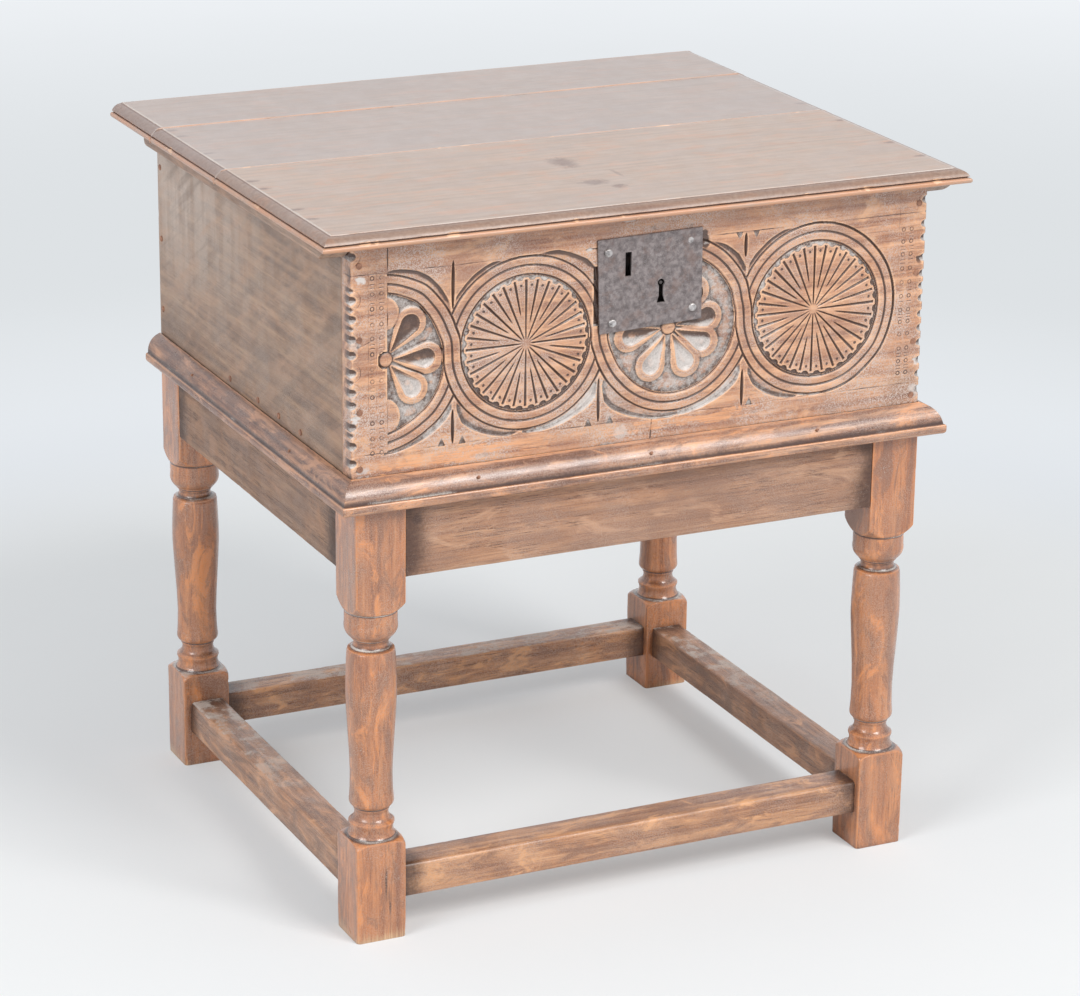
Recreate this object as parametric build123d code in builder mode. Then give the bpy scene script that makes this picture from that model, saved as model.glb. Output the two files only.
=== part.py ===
from build123d import *
from dataclasses import dataclass
import os

# A bible box on a stand. The box is nailed up from oak boards, with a three-board lid on iron
# hinges and an iron plate lock, and sits in the moulded rim of a joined stand on turned legs.
#
# Millimetres. X runs to the right, Y to the back, Z up from the floor. The origin is on the
# floor under the middle of the lid, which reaches further than anything below it.

os.makedirs("parts", exist_ok=True)

# ---- stand ---------------------------------------------------------------------------------
stand_width = 600.0  # over the legs, left to right
stand_depth = 527.0  # over the legs, front to back
frame_top = 452.0  # top of the legs and rails, which carries the box
leg_size = 51.0
leg_arris = 0.8

rail_height = 84.0
rail_thickness = 24.0
rail_set_back = 1.0  # from the faces of the legs
rail_arris = 0.8
rail_tenon_length = 30.0
rail_tenon_thickness = 9.0
rail_tenon_height = 60.0

stretcher_bottom = 37.5
stretcher_height = 34.0
stretcher_thickness = 36.0
stretcher_worn_arris = 4.0  # upper outer edge, rubbed by feet
stretcher_arris = 1.0
stretcher_tenon_thickness = 10.0
stretcher_tenon_height = 24.0
stretcher_tenon_wall = 2.0  # wood left between the two tenons that meet in a leg

joint_clearance = 0.15  # each side of a tenon in its mortise
tenon_end_gap = 0.5

# ---- turning of the legs, element by element: heights, then radii ---------------------------
lower_block_height = 94.0
lower_shoulder_height = 9.0
foot_torus_height = 13.0
foot_bead_height = 2.0
foot_scotia_height = 12.0
foot_fillet_height = 3.0
shaft_foot_height = 7.0
waist_height = 35.0  # above the foot of the shaft
belly_drop = 42.0  # below the top of the shaft
upper_block_height = 107.0
upper_shoulder_height = 12.0
cup_band_height = 12.0
cup_round_height = 15.0
cup_step_height = 1.0
neck_fillet_height = 3.0
neck_scotia_height = 8.0
neck_bead_height = 2.0

turned_radius = 25.4  # the widest turned parts, just inside the flats of the blocks
torus_root_radius = 24.0
foot_bead_radius = 22.3
foot_scotia_radius = 21.8
foot_hollow_radius = 16.8
fillet_radius = 17.5
shaft_foot_radius = 21.7
waist_radius = 20.5
belly_radius = 24.7
shaft_top_radius = 23.2
neck_bead_radius = 22.6
neck_hollow_radius = 16.7
cup_step_radius = 19.5
hollow_sagitta = 2.4  # depth of the scotias below the straight line between their edges
round_sagitta = 2.6  # swell of the lower shoulder and the cup
shoulder_sagitta = 1.0  # of the upper shoulder, which is nearly straight
shaft_foot_sagitta = 1.6
lower_fillet_height = 1.0
envelope_margin = 1.0  # the turned envelope stands this far outside the square blocks' ends

# ---- rim moulding ---------------------------------------------------------------------------
moulding_bottom = 439.5
moulding_top = 470.0
moulding_lip_height = 10.5
moulding_lip_radius = 4.4
moulding_step = 2.0  # from the lip back to the ovolo
moulding_swell = 4.4  # sagitta of the ovolo
moulding_front_reach = 21.0  # from the face of the box to the nose
moulding_left_reach = 17.0
moulding_right_reach = 21.5
rim_clearance = 0.4  # between the rim and the box that lifts out of it
sprig_height = 11.5  # above the lip, where the sprigs enter the ovolo
sprig_inset = 4.5  # from the nose
front_sprig_spacing = 0.3  # share of the stand's width
side_sprig_spacing = 0.501  # share of the stand's depth

# ---- box ------------------------------------------------------------------------------------
box_height = 240.0
box_side_overhang = 1.5  # the box stands this far out over the frame at each side
box_front_margin = 6.0  # the frame stands this far in front of the box
box_back_margin = 6.0  # and behind it
seat_gap = 0.3  # pieces that part from each other rest this far apart
front_thickness = 20.0
side_thickness = 17.0
back_thickness = 16.0
bottom_thickness = 14.0
bottom_lift = 18.0  # from the lower edge of the sides to the bottom boards
bottom_front_share = 0.4583  # of the box's depth, the front one of the two bottom boards
shrinkage_gap = 0.6  # between boards that have shrunk apart

nick_radius = 4.2
nick_pitch = 17.0
nick_margin = 14.0  # least distance from the ends of the board to the outermost nicks
front_nail_heights = [0.107, 0.336, 0.624, 0.9155]  # shares of the box's height
bottom_nail_steps = [0.2466, 0.3553, 0.4612, 0.6087]  # shares of its depth, from the front
back_nail_heights = [0.1875, 0.5, 0.8125]

# ---- lid ------------------------------------------------------------------------------------
lid_thickness = 14.0
lid_side_overhang = 36.0  # from the side of the box to the nose
lid_front_overhang = 23.5
lid_back_overhang = 38.5
lid_front_board_share = 0.4783  # of the lid's depth
lid_middle_board_share = 0.312
lid_back_proud = 0.8  # the back board has swollen above the others
lid_joint_gap = 0.4
lid_nail_inset = 17.5  # from the nose, over the middle of the cleats
left_nail_steps = [0.128, 0.191, 0.3345, 0.388, 0.544, 0.593, 0.724, 0.7695]  # shares of the depth
right_nail_steps = [0.118, 0.22, 0.395, 0.537]

crease_inset = 12.5  # from the nose to the step round the top
crease_step = 0.8
bead_radius = 2.75  # bead along the nose, at the underside
quirk_height = 6.9  # lower end of the ovolo, above the underside
quirk_inset = 2.0
quirk_depth = 1.2
lid_ovolo_swell = 1.8

cleat_width = 26.5
cleat_height = 13.5
cleat_clearance = 0.8  # from the side of the box
cleat_front_inset = 17.0  # from the nose of the lid to the cleat
cleat_rake = 19.0  # its front end slopes back by this much
cleat_back_inset = 78.0
cleat_round = 9.0
cleat_arris = 4.0

# ---- hinges ---------------------------------------------------------------------------------
hinge_inset = 111.5  # from the side of the box to the middle of a hinge
knuckle_radius = 4.0
hinge_pin_radius = 1.6
hinge_pin_clearance = 0.05
hinge_leaf_thickness = 2.0
hinge_leaf_neck = 30.0  # width of a leaf at the knuckles
hinge_leaf_spread = 48.0  # and at its far edge
hinge_box_leaf_height = 44.0
hinge_lid_leaf_reach = 30.0
hinge_side_barrel = 9.0  # length of each outer barrel
hinge_gap = 0.3
box_leaf_nails = [(-14.0, -34.0), (14.0, -34.0), (0.0, -18.0)]  # X from the hinge, Z from the pin
lid_leaf_nails = [(-14.0, 23.0), (14.0, 23.0), (0.0, 12.0)]  # X from the hinge, Y from the pin

# ---- lock -----------------------------------------------------------------------------------
lock_x = 2.3
lock_drop = 65.3  # from the top of the box to the middle of the plate
plate_thickness = 1.8
plate_corners = [(-55.9, 44.0), (53.8, 46.2), (54.5, -43.1), (-52.6, -47.1)]  # cut by hand
plate_nail_places = [(-45.1, 31.3), (-39.8, -37.6), (44.5, -31.0)]
sunk_nail_place = (41.3, 35.0)
plate_nail_dome = 1.8  # rounding of the heads
staple_slot_place = (-23.8, 18.2)
staple_slot_width = 6.4
staple_slot_height = 23.3
key_place = (11.0, -3.3)  # middle of the round head of the keyhole
keyhole_radius = 3.6
keyhole_shank_width = 4.8
keyhole_shank_drop = 12.7
keyhole_foot_width = 9.0
keyhole_foot_drop = 19.4
key_post_radius = 1.6

recess_left = -34.3  # of the plate's middle
recess_right = 31.7
recess_bottom = -30.0
recess_top = 33.0
recess_depth = 13.0
cap_thickness = 1.5

bolt_left = -18.3
bolt_length = 46.0
bolt_bottom = 12.0
bolt_height = 12.0
bolt_thickness = 4.0
bolt_play = 0.3
talon_width = 8.0
talon_depth = 4.0
guide_width = 5.0
guide_thickness = 1.5
guide_places = [-10.0, 21.0]
spring_thickness = 0.8
spring_width = 3.0
spring_rise = 4.5

# ---- where things stand ---------------------------------------------------------------------
box_width = stand_width + 2 * box_side_overhang
box_depth = stand_depth - box_front_margin - box_back_margin
lid_width = box_width + 2 * lid_side_overhang  # nose to nose
lid_depth = lid_front_overhang + box_depth + lid_back_overhang  # front nose to back edge
lid_front = -lid_depth / 2
lid_back = lid_depth / 2
box_front = lid_front + lid_front_overhang
box_back = box_front + box_depth
box_side = box_width / 2
box_bottom = frame_top + seat_gap
box_top = box_bottom + box_height
lid_bottom = box_top + seat_gap
stand_front = box_front - box_front_margin
stand_y = stand_front + stand_depth / 2
stand_side = stand_width / 2


# ---- nails ----------------------------------------------------------------------------------
@dataclass(frozen=True)
class Nail:
    """A wrought nail; its head is let into the surface by the depth sunk."""

    length: float
    radius: float
    head_radius: float
    head_height: float
    sunk: float
    hole_clearance: float = 0.05


board_nail = Nail(length=44.0, radius=1.4, head_radius=3.0, head_height=1.0, sunk=0.7)
lid_nail = Nail(length=25.0, radius=1.2, head_radius=2.8, head_height=0.9, sunk=0.7)
sprig = Nail(length=30.0, radius=1.0, head_radius=1.5, head_height=1.5, sunk=1.6)
hinge_nail = Nail(length=11.0, radius=1.1, head_radius=2.6, head_height=0.8, sunk=0.0)
plate_nail = Nail(length=15.0, radius=1.5, head_radius=4.2, head_height=2.0, sunk=0.0)
sunk_plate_nail = Nail(length=14.0, radius=1.5, head_radius=2.8, head_height=1.4, sunk=1.0)


def site(point, outward):
    """Place at a point of a surface or axis, its local Z pointing outward."""
    return Location(Plane(origin=point, z_dir=outward))


def drive(nail, places):
    """Nails in the part that is open, one at each place."""
    with Locations(*places):
        Cylinder(nail.radius, nail.length, align=(Align.CENTER, Align.CENTER, Align.MAX))
        with Locations((0, 0, -nail.sunk)):
            Cylinder(nail.head_radius, nail.head_height, align=(Align.CENTER, Align.CENTER, Align.MIN))


def bore(nail, places):
    """Holes for the same nails in the part that is open."""
    with Locations(*places):
        Cylinder(
            nail.radius + nail.hole_clearance,
            2 * (nail.length + nail.hole_clearance),
            mode=Mode.SUBTRACT,
        )
        if nail.sunk > 0:
            Cylinder(nail.head_radius + nail.hole_clearance, 2 * nail.sunk, mode=Mode.SUBTRACT)


# ---- rails and stretchers, with a tenon at each end -----------------------------------------
@dataclass(frozen=True)
class Bar:
    """A bar between two legs: its section, and that of its tenons."""

    bottom: float
    height: float
    thickness: float
    set_back: float
    arris: float
    worn_arris: float
    tenon_length: float
    tenon_thickness: float
    tenon_height: float


rail = Bar(
    frame_top - rail_height,
    rail_height,
    rail_thickness,
    rail_set_back,
    rail_arris,
    rail_arris,
    rail_tenon_length,
    rail_tenon_thickness,
    rail_tenon_height,
)
stretcher = Bar(
    stretcher_bottom,
    stretcher_height,
    stretcher_thickness,
    (leg_size - stretcher_thickness) / 2,
    stretcher_arris,
    stretcher_worn_arris,
    (leg_size - stretcher_tenon_thickness) / 2 - stretcher_tenon_wall,
    stretcher_tenon_thickness,
    stretcher_tenon_height,
)
side_turns = {"front": 0, "right": 90, "back": 180, "left": 270}


def bar_section(bar, side):
    """Plane across the middle of a bar, its X pointing inwards from the side and its Y up."""
    along = Vector(1, 0, 0).rotate(Axis.Z, side_turns[side])
    inward = along.rotate(Axis.Z, 90)
    half_span = stand_depth / 2 if side in ("front", "back") else stand_side
    out = half_span - bar.set_back - bar.thickness / 2
    centre = Vector(0, stand_y, bar.bottom + bar.height / 2) - inward * out
    return Plane(origin=centre, x_dir=inward, z_dir=along)


def bar_length(side):
    """Length of a bar between the shoulders of its tenons."""
    span = stand_width if side in ("front", "back") else stand_depth
    return span - 2 * leg_size


# ---- moulding sprigs: slanting through the ovolo into the rails -----------------------------
sprig_z = moulding_bottom + moulding_lip_height + sprig_height
front_sprig_y = box_front - moulding_front_reach + sprig_inset
left_sprig_x = -(box_side + moulding_left_reach - sprig_inset)
right_sprig_x = box_side + moulding_right_reach - sprig_inset
front_sprig_xs = [n * front_sprig_spacing * stand_width for n in (-1, 0, 1)]
side_sprig_ys = [stand_y + n * side_sprig_spacing * stand_depth / 2 for n in (-1, 1)]
sprig_places = {
    "front": [site((x, front_sprig_y, sprig_z), (0, -1, 1)) for x in front_sprig_xs],
    "left": [site((left_sprig_x, y, sprig_z), (-1, 0, 1)) for y in side_sprig_ys],
    "right": [site((right_sprig_x, y, sprig_z), (1, 0, 1)) for y in side_sprig_ys],
}

for side in side_turns:
    for name, bar in (("rail", rail), ("stretcher", stretcher)):
        section = bar_section(bar, side)
        length = bar_length(side)
        with BuildPart() as piece:
            with BuildSketch(section) as profile:
                Rectangle(bar.thickness, bar.height)
                outer = profile.vertices().group_by(Axis.X)[0]
                worn = outer.sort_by(Axis.Y)[-1]
                eased = outer.sort_by(Axis.Y)[0]
                fillet(worn, radius=bar.worn_arris)
                fillet(eased, radius=bar.arris)
            extrude(amount=length / 2, both=True)
            with BuildSketch(section):
                Rectangle(bar.tenon_thickness, bar.tenon_height)
            extrude(amount=length / 2 + bar.tenon_length, both=True)
            if name == "rail" and side in sprig_places:
                bore(sprig, sprig_places[side])
        piece.part.label = f"{name}_{side}"
        export_step(piece.part, f"parts/{name}_{side}.step")


# ---- legs -----------------------------------------------------------------------------------
def turned_outline():
    """Right half of the leg's turned envelope in the open line; it clears the square blocks."""
    clear = leg_size
    corner = leg_size / 2 * 2**0.5
    shoulder = lower_block_height
    torus = shoulder + lower_shoulder_height
    bead = torus + foot_torus_height
    scotia = bead + foot_bead_height
    fillet_foot = scotia + foot_scotia_height
    shaft = fillet_foot + foot_fillet_height
    block = frame_top - upper_block_height
    cup_top = block - upper_shoulder_height
    cup_side = cup_top - cup_band_height
    cup = cup_side - cup_round_height
    neck_fillet = cup - cup_step_height
    neck_scotia = neck_fillet - neck_fillet_height
    neck_bead = neck_scotia - neck_scotia_height
    shaft_top = neck_bead - neck_bead_height

    ledge = torus - lower_fillet_height
    floor = -envelope_margin
    ceiling = frame_top + envelope_margin

    Polyline((0, floor), (clear, floor), (clear, shoulder - envelope_margin), (corner, shoulder))
    SagittaArc((corner, shoulder), (turned_radius, ledge), round_sagitta)
    Polyline((turned_radius, ledge), (torus_root_radius, ledge), (torus_root_radius, torus))
    ThreePointArc(
        (torus_root_radius, torus), (turned_radius, (torus + bead) / 2), (foot_bead_radius, bead)
    )
    Polyline((foot_bead_radius, bead), (foot_bead_radius, scotia), (foot_scotia_radius, scotia))
    SagittaArc((foot_scotia_radius, scotia), (foot_hollow_radius, fillet_foot), -hollow_sagitta)
    Polyline((foot_hollow_radius, fillet_foot), (fillet_radius, fillet_foot), (fillet_radius, shaft))
    SagittaArc((fillet_radius, shaft), (shaft_foot_radius, shaft + shaft_foot_height), shaft_foot_sagitta)
    Spline(
        (shaft_foot_radius, shaft + shaft_foot_height),
        (waist_radius, shaft + waist_height),
        (belly_radius, shaft_top - belly_drop),
        (shaft_top_radius, shaft_top),
    )
    Polyline(
        (shaft_top_radius, shaft_top),
        (neck_bead_radius, shaft_top),
        (neck_bead_radius, neck_bead),
    )
    SagittaArc((neck_bead_radius, neck_bead), (neck_hollow_radius, neck_scotia), -hollow_sagitta)
    Polyline(
        (neck_hollow_radius, neck_scotia),
        (fillet_radius, neck_scotia),
        (fillet_radius, neck_fillet),
        (cup_step_radius, neck_fillet),
        (cup_step_radius, cup),
    )
    SagittaArc((cup_step_radius, cup), (turned_radius, cup_side), round_sagitta)
    Line((turned_radius, cup_side), (turned_radius, cup_top))
    SagittaArc((turned_radius, cup_top), (corner, block), shoulder_sagitta)
    Polyline(
        (corner, block), (clear, block + envelope_margin), (clear, ceiling), (0, ceiling), (0, floor)
    )


leg_sides = {
    "front_left": (-1, -1),
    "front_right": (1, -1),
    "back_left": (-1, 1),
    "back_right": (1, 1),
}
for corner_name, (right, back) in leg_sides.items():
    leg_x = right * (stand_side - leg_size / 2)
    leg_y = stand_y + back * (stand_depth - leg_size) / 2
    leg_axis = Axis((leg_x, leg_y, 0), (0, 0, 1))
    with BuildPart() as leg:
        with BuildSketch(Plane(origin=(leg_x, leg_y, 0))):
            RectangleRounded(leg_size, leg_size, leg_arris)
        extrude(amount=frame_top)
        with BuildSketch(Plane(origin=(leg_x, leg_y, 0), x_dir=(1, 0, 0), z_dir=(0, -1, 0))):
            with BuildLine():
                turned_outline()
            make_face()
        revolve(axis=leg_axis, mode=Mode.INTERSECT)
        for side in corner_name.split("_"):
            for bar in (rail, stretcher):
                with BuildSketch(bar_section(bar, side)):
                    Rectangle(
                        bar.tenon_thickness + 2 * joint_clearance,
                        bar.tenon_height + 2 * joint_clearance,
                    )
                depth = bar_length(side) / 2 + bar.tenon_length + tenon_end_gap
                extrude(amount=depth, both=True, mode=Mode.SUBTRACT)
    leg.part.label = f"leg_{corner_name}"
    export_step(leg.part, f"parts/leg_{corner_name}.step")


# ---- rim moulding: mitred at the front corners, square at the back --------------------------
def moulding_section(reach, leg_offset):
    """Section of a moulding in the open line: X outwards from the face of the box, Y up.

    Below the seat it lies on the faces of the legs, leg_offset out from the box.
    """
    lip_top = moulding_bottom + moulding_lip_height
    lip = moulding_lip_radius
    Polyline(
        (rim_clearance, moulding_top),
        (rim_clearance, frame_top),
        (leg_offset, frame_top),
        (leg_offset, moulding_bottom),
        (reach - lip, moulding_bottom),
    )
    RadiusArc((reach - lip, moulding_bottom), (reach, moulding_bottom + lip), -lip)
    Line((reach, moulding_bottom + lip), (reach, lip_top - moulding_step))
    RadiusArc((reach, lip_top - moulding_step), (reach - moulding_step, lip_top), -moulding_step)
    SagittaArc((reach - moulding_step, lip_top), (rim_clearance, moulding_top), -moulding_swell)


def mitre_plane(right, reach):
    """Upright plane of a front mitre, through the corners of the box and of the two noses."""
    inner = Vector(right * (box_side + rim_clearance), box_front - rim_clearance, 0)
    nose = Vector(right * (box_side + reach), box_front - moulding_front_reach, 0)
    return Plane(origin=inner, x_dir=nose - inner, z_dir=(nose - inner).cross(Vector(0, 0, -right)))


left_mitre = mitre_plane(-1, moulding_left_reach)
right_mitre = mitre_plane(1, moulding_right_reach)

with BuildPart() as moulding_front:
    with BuildSketch(Plane(origin=(0, box_front, 0), x_dir=(0, -1, 0), z_dir=(-1, 0, 0))):
        with BuildLine():
            moulding_section(moulding_front_reach, box_front_margin)
        make_face()
    extrude(amount=box_width, both=True)
    split(bisect_by=left_mitre, keep=Keep.BOTTOM)
    split(bisect_by=right_mitre, keep=Keep.BOTTOM)
    bore(sprig, sprig_places["front"])
moulding_front.part.label = "moulding_front"
export_step(moulding_front.part, "parts/moulding_front.step")

for side, right, reach, mitre in (
    ("left", -1, moulding_left_reach, left_mitre),
    ("right", 1, moulding_right_reach, right_mitre),
):
    with BuildPart() as moulding:
        end = Plane(origin=(right * box_side, box_back, 0), x_dir=(right, 0, 0), z_dir=(0, -right, 0))
        with BuildSketch(end):
            with BuildLine():
                moulding_section(reach, stand_side - box_side)
            make_face()
        extrude(amount=right * 2 * box_depth)
        split(bisect_by=mitre, keep=Keep.TOP)
        bore(sprig, sprig_places[side])
    moulding.part.label = f"moulding_{side}"
    export_step(moulding.part, f"parts/moulding_{side}.step")

with BuildPart() as moulding_sprigs:
    for places in sprig_places.values():
        drive(sprig, places)
moulding_sprigs.part.label = "moulding_sprigs"
export_step(moulding_sprigs.part, "parts/moulding_sprigs.step")


# ---- where the box is nailed ----------------------------------------------------------------
bottom_middle = box_bottom + bottom_lift + bottom_thickness / 2

front_nail_places = {
    right: [
        site(
            (right * (box_side - side_thickness / 2), box_front, box_bottom + share * box_height),
            (0, -1, 0),
        )
        for share in front_nail_heights
    ]
    for right in (-1, 1)
}
bottom_nail_places = {
    right: [
        site((right * box_side, box_front + share * box_depth, bottom_middle), (right, 0, 0))
        for share in bottom_nail_steps
    ]
    for right in (-1, 1)
}
back_nail_places = {
    right: [
        site(
            (right * box_side, box_back - back_thickness / 2, box_bottom + share * box_height),
            (right, 0, 0),
        )
        for share in back_nail_heights
    ]
    for right in (-1, 1)
}

# ---- where the lock stands: a plane on the face of the box, X to the right and Y up ---------
lock_z = box_top - lock_drop
lock_face = Plane(origin=(lock_x, box_front, lock_z), x_dir=(1, 0, 0), z_dir=(0, -1, 0))
plate_nail_sites = [
    site((lock_x + x, box_front - plate_thickness, lock_z + z), (0, -1, 0)) for x, z in plate_nail_places
]
sunk_nail_site = site(
    (lock_x + sunk_nail_place[0], box_front - plate_thickness, lock_z + sunk_nail_place[1]), (0, -1, 0)
)


def lock_rectangle(left, right, bottom, top):
    """Rectangle in the sketch that is open, by its edges from the middle of the plate."""
    with Locations(((left + right) / 2, (bottom + top) / 2)):
        Rectangle(right - left, top - bottom)


# ---- where the hinges stand -----------------------------------------------------------------
pivot_y = box_back + hinge_gap + knuckle_radius
pivot_z = box_top - knuckle_radius
hinge_places = {"left": hinge_inset - box_side, "right": box_side - hinge_inset}
box_leaf_face = box_back + hinge_leaf_thickness
lid_leaf_face = lid_bottom - hinge_leaf_thickness


def box_leaf_sites(hinge_x):
    """Places of the nails of one hinge leaf on the back of the box."""
    return [site((hinge_x + x, box_leaf_face, pivot_z + z), (0, 1, 0)) for x, z in box_leaf_nails]


def lid_leaf_sites(hinge_x):
    """Places of the nails of one hinge leaf under the lid."""
    return [site((hinge_x + x, pivot_y + y, lid_leaf_face), (0, 0, -1)) for x, y in lid_leaf_nails]


# ---- box boards -----------------------------------------------------------------------------
nick_count = int((box_height - 2 * nick_margin) / nick_pitch) + 1
nick_start = box_bottom + (box_height - (nick_count - 1) * nick_pitch) / 2
with BuildPart() as front_board:
    with BuildSketch(Plane(origin=(0, box_front, 0), x_dir=(1, 0, 0), z_dir=(0, 1, 0))):
        with Locations((0, -(box_bottom + box_top) / 2)):
            Rectangle(box_width, box_height)
    extrude(amount=front_thickness)
    for right in (-1, 1):
        for nick in range(nick_count):
            with Locations((right * box_side, box_front, nick_start + nick * nick_pitch)):
                Cylinder(
                    nick_radius,
                    4 * nick_radius,
                    rotation=(90, 0, right * 45),
                    mode=Mode.SUBTRACT,
                )
        bore(board_nail, front_nail_places[right])
    with BuildSketch(lock_face):
        lock_rectangle(recess_left, recess_right, recess_bottom, recess_top)
    extrude(amount=-recess_depth, mode=Mode.SUBTRACT)
    bore(plate_nail, plate_nail_sites)
    bore(sunk_plate_nail, [sunk_nail_site])
front_board.part.label = "front_board"
export_step(front_board.part, "parts/front_board.step")

for side, right in (("left", -1), ("right", 1)):
    with BuildPart() as side_board:
        with BuildSketch(Plane(origin=(0, 0, box_bottom))):
            with Locations(
                (
                    right * (box_side - side_thickness / 2),
                    (box_front + front_thickness + box_back) / 2,
                )
            ):
                Rectangle(side_thickness, box_depth - front_thickness)
        extrude(amount=box_height)
        bore(board_nail, front_nail_places[right] + bottom_nail_places[right] + back_nail_places[right])
    side_board.part.label = f"side_{side}"
    export_step(side_board.part, f"parts/side_{side}.step")

with BuildPart() as back_board:
    with BuildSketch(Plane(origin=(0, box_back - back_thickness / 2, box_bottom))):
        Rectangle(box_width - 2 * side_thickness, back_thickness)
    extrude(amount=box_height)
    for right in (-1, 1):
        bore(board_nail, back_nail_places[right])
    for hinge_x in hinge_places.values():
        bore(hinge_nail, box_leaf_sites(hinge_x))
back_board.part.label = "back_board"
export_step(back_board.part, "parts/back_board.step")

bottom_start = box_front + front_thickness
bottom_end = box_back - back_thickness
bottom_split = bottom_start + bottom_front_share * box_depth
for name, start, end in (
    ("bottom_board_front", bottom_start, bottom_split),
    ("bottom_board_back", bottom_split + shrinkage_gap, bottom_end),
):
    with BuildPart() as bottom_board:
        with BuildSketch(Plane(origin=(0, (start + end) / 2, box_bottom + bottom_lift))):
            Rectangle(box_width - 2 * side_thickness, end - start)
        extrude(amount=bottom_thickness)
        for right in (-1, 1):
            bore(board_nail, bottom_nail_places[right])
    bottom_board.part.label = name
    export_step(bottom_board.part, f"parts/{name}.step")

for name, places in (
    ("front_nails", front_nail_places),
    ("bottom_nails", bottom_nail_places),
    ("back_nails", back_nail_places),
):
    with BuildPart() as nails:
        for right in (-1, 1):
            drive(board_nail, places[right])
    nails.part.label = name
    export_step(nails.part, f"parts/{name}.step")


# ---- lock -----------------------------------------------------------------------------------
key_x, key_z = key_place
with BuildPart() as lock_plate:
    with BuildSketch(lock_face):
        with BuildLine():
            Polyline(*plate_corners, close=True)
        make_face()
        with Locations(staple_slot_place):
            Rectangle(staple_slot_width, staple_slot_height, mode=Mode.SUBTRACT)
        with Locations(key_place):
            Circle(keyhole_radius, mode=Mode.SUBTRACT)
        with BuildLine():
            Polyline(
                (key_x - keyhole_shank_width / 2, key_z),
                (key_x - keyhole_shank_width / 2, key_z - keyhole_shank_drop),
                (key_x - keyhole_foot_width / 2, key_z - keyhole_foot_drop),
                (key_x + keyhole_foot_width / 2, key_z - keyhole_foot_drop),
                (key_x + keyhole_shank_width / 2, key_z - keyhole_shank_drop),
                (key_x + keyhole_shank_width / 2, key_z),
                close=True,
            )
        make_face(mode=Mode.SUBTRACT)
    extrude(amount=plate_thickness)
    bore(plate_nail, plate_nail_sites)
    bore(sunk_plate_nail, [sunk_nail_site])
lock_plate.part.label = "lock_plate"
export_step(lock_plate.part, "parts/lock_plate.step")

with BuildPart() as lock_plate_nails:
    drive(plate_nail, plate_nail_sites)
    fillet(
        lock_plate_nails.edges().filter_by(GeomType.CIRCLE).group_by(Axis.Y)[0],
        radius=plate_nail_dome,
    )
    drive(sunk_plate_nail, [sunk_nail_site])
lock_plate_nails.part.label = "lock_plate_nails"
export_step(lock_plate_nails.part, "parts/lock_plate_nails.step")

bolt_top = bolt_bottom + bolt_height
with BuildPart() as lock_bolt:
    with BuildSketch(lock_face.offset(-bolt_play)):
        lock_rectangle(bolt_left, bolt_left + bolt_length, bolt_bottom, bolt_top)
        with Locations((key_x, bolt_bottom + talon_depth / 2)):
            Rectangle(talon_width, talon_depth, mode=Mode.SUBTRACT)
    extrude(amount=-bolt_thickness)
lock_bolt.part.label = "lock_bolt"
export_step(lock_bolt.part, "parts/lock_bolt.step")

guide_depth = bolt_thickness + 2 * bolt_play
with BuildPart() as bolt_guides:
    with BuildSketch(lock_face):
        with Locations(*[(x, (bolt_bottom + bolt_top) / 2) for x in guide_places]):
            Rectangle(guide_width, bolt_height + 2 * (bolt_play + guide_thickness))
    extrude(amount=-(guide_depth + guide_thickness))
    with BuildSketch(lock_face):
        lock_rectangle(
            guide_places[0] - guide_width,
            guide_places[-1] + guide_width,
            bolt_bottom - bolt_play,
            bolt_top + bolt_play,
        )
    extrude(amount=-guide_depth, mode=Mode.SUBTRACT)
bolt_guides.part.label = "bolt_guides"
export_step(bolt_guides.part, "parts/bolt_guides.step")

spring_bottom = bolt_top + bolt_play
spring_left = guide_places[0] + guide_width
spring_right = guide_places[-1] - guide_width
with BuildPart() as bolt_spring:
    with BuildSketch(lock_face):
        with BuildLine():
            low_left = (spring_left, spring_bottom + spring_rise)
            low_middle = ((spring_left + spring_right) / 2, spring_bottom)
            low_right = (spring_right, spring_bottom + spring_rise)
            ThreePointArc(low_left, low_middle, low_right)
            offset(amount=spring_thickness, side=Side.LEFT)
        make_face()
    extrude(amount=-spring_width)
bolt_spring.part.label = "bolt_spring"
export_step(bolt_spring.part, "parts/bolt_spring.step")

with BuildPart() as lock_cap:
    with BuildSketch(lock_face.offset(-recess_depth)):
        lock_rectangle(recess_left, recess_right, recess_bottom, recess_top)
    extrude(amount=cap_thickness)
lock_cap.part.label = "lock_cap"
export_step(lock_cap.part, "parts/lock_cap.step")

with BuildPart() as key_post:
    with BuildSketch(lock_face.offset(cap_thickness - recess_depth)):
        with Locations(key_place):
            Circle(key_post_radius)
    extrude(amount=recess_depth - cap_thickness + plate_thickness / 2)
key_post.part.label = "key_post"
export_step(key_post.part, "parts/key_post.step")


# ---- lid boards -----------------------------------------------------------------------------
def lid_edge(nose, inward, top):
    """Moulded edge of the lid in the open line, from the crease of its top to the underside."""
    crease = nose + inward * crease_inset
    quirk = nose + inward * quirk_inset
    bead = nose + inward * bead_radius
    Line((crease, top), (crease, top - crease_step))
    SagittaArc(
        (crease, top - crease_step), (quirk, lid_bottom + quirk_height), inward * lid_ovolo_swell
    )
    Polyline(
        (quirk, lid_bottom + quirk_height),
        (bead + inward * quirk_depth, lid_bottom + 2 * bead_radius),
        (bead, lid_bottom + 2 * bead_radius),
    )
    ThreePointArc(
        (bead, lid_bottom + 2 * bead_radius), (nose, lid_bottom + bead_radius), (bead, lid_bottom)
    )


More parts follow.
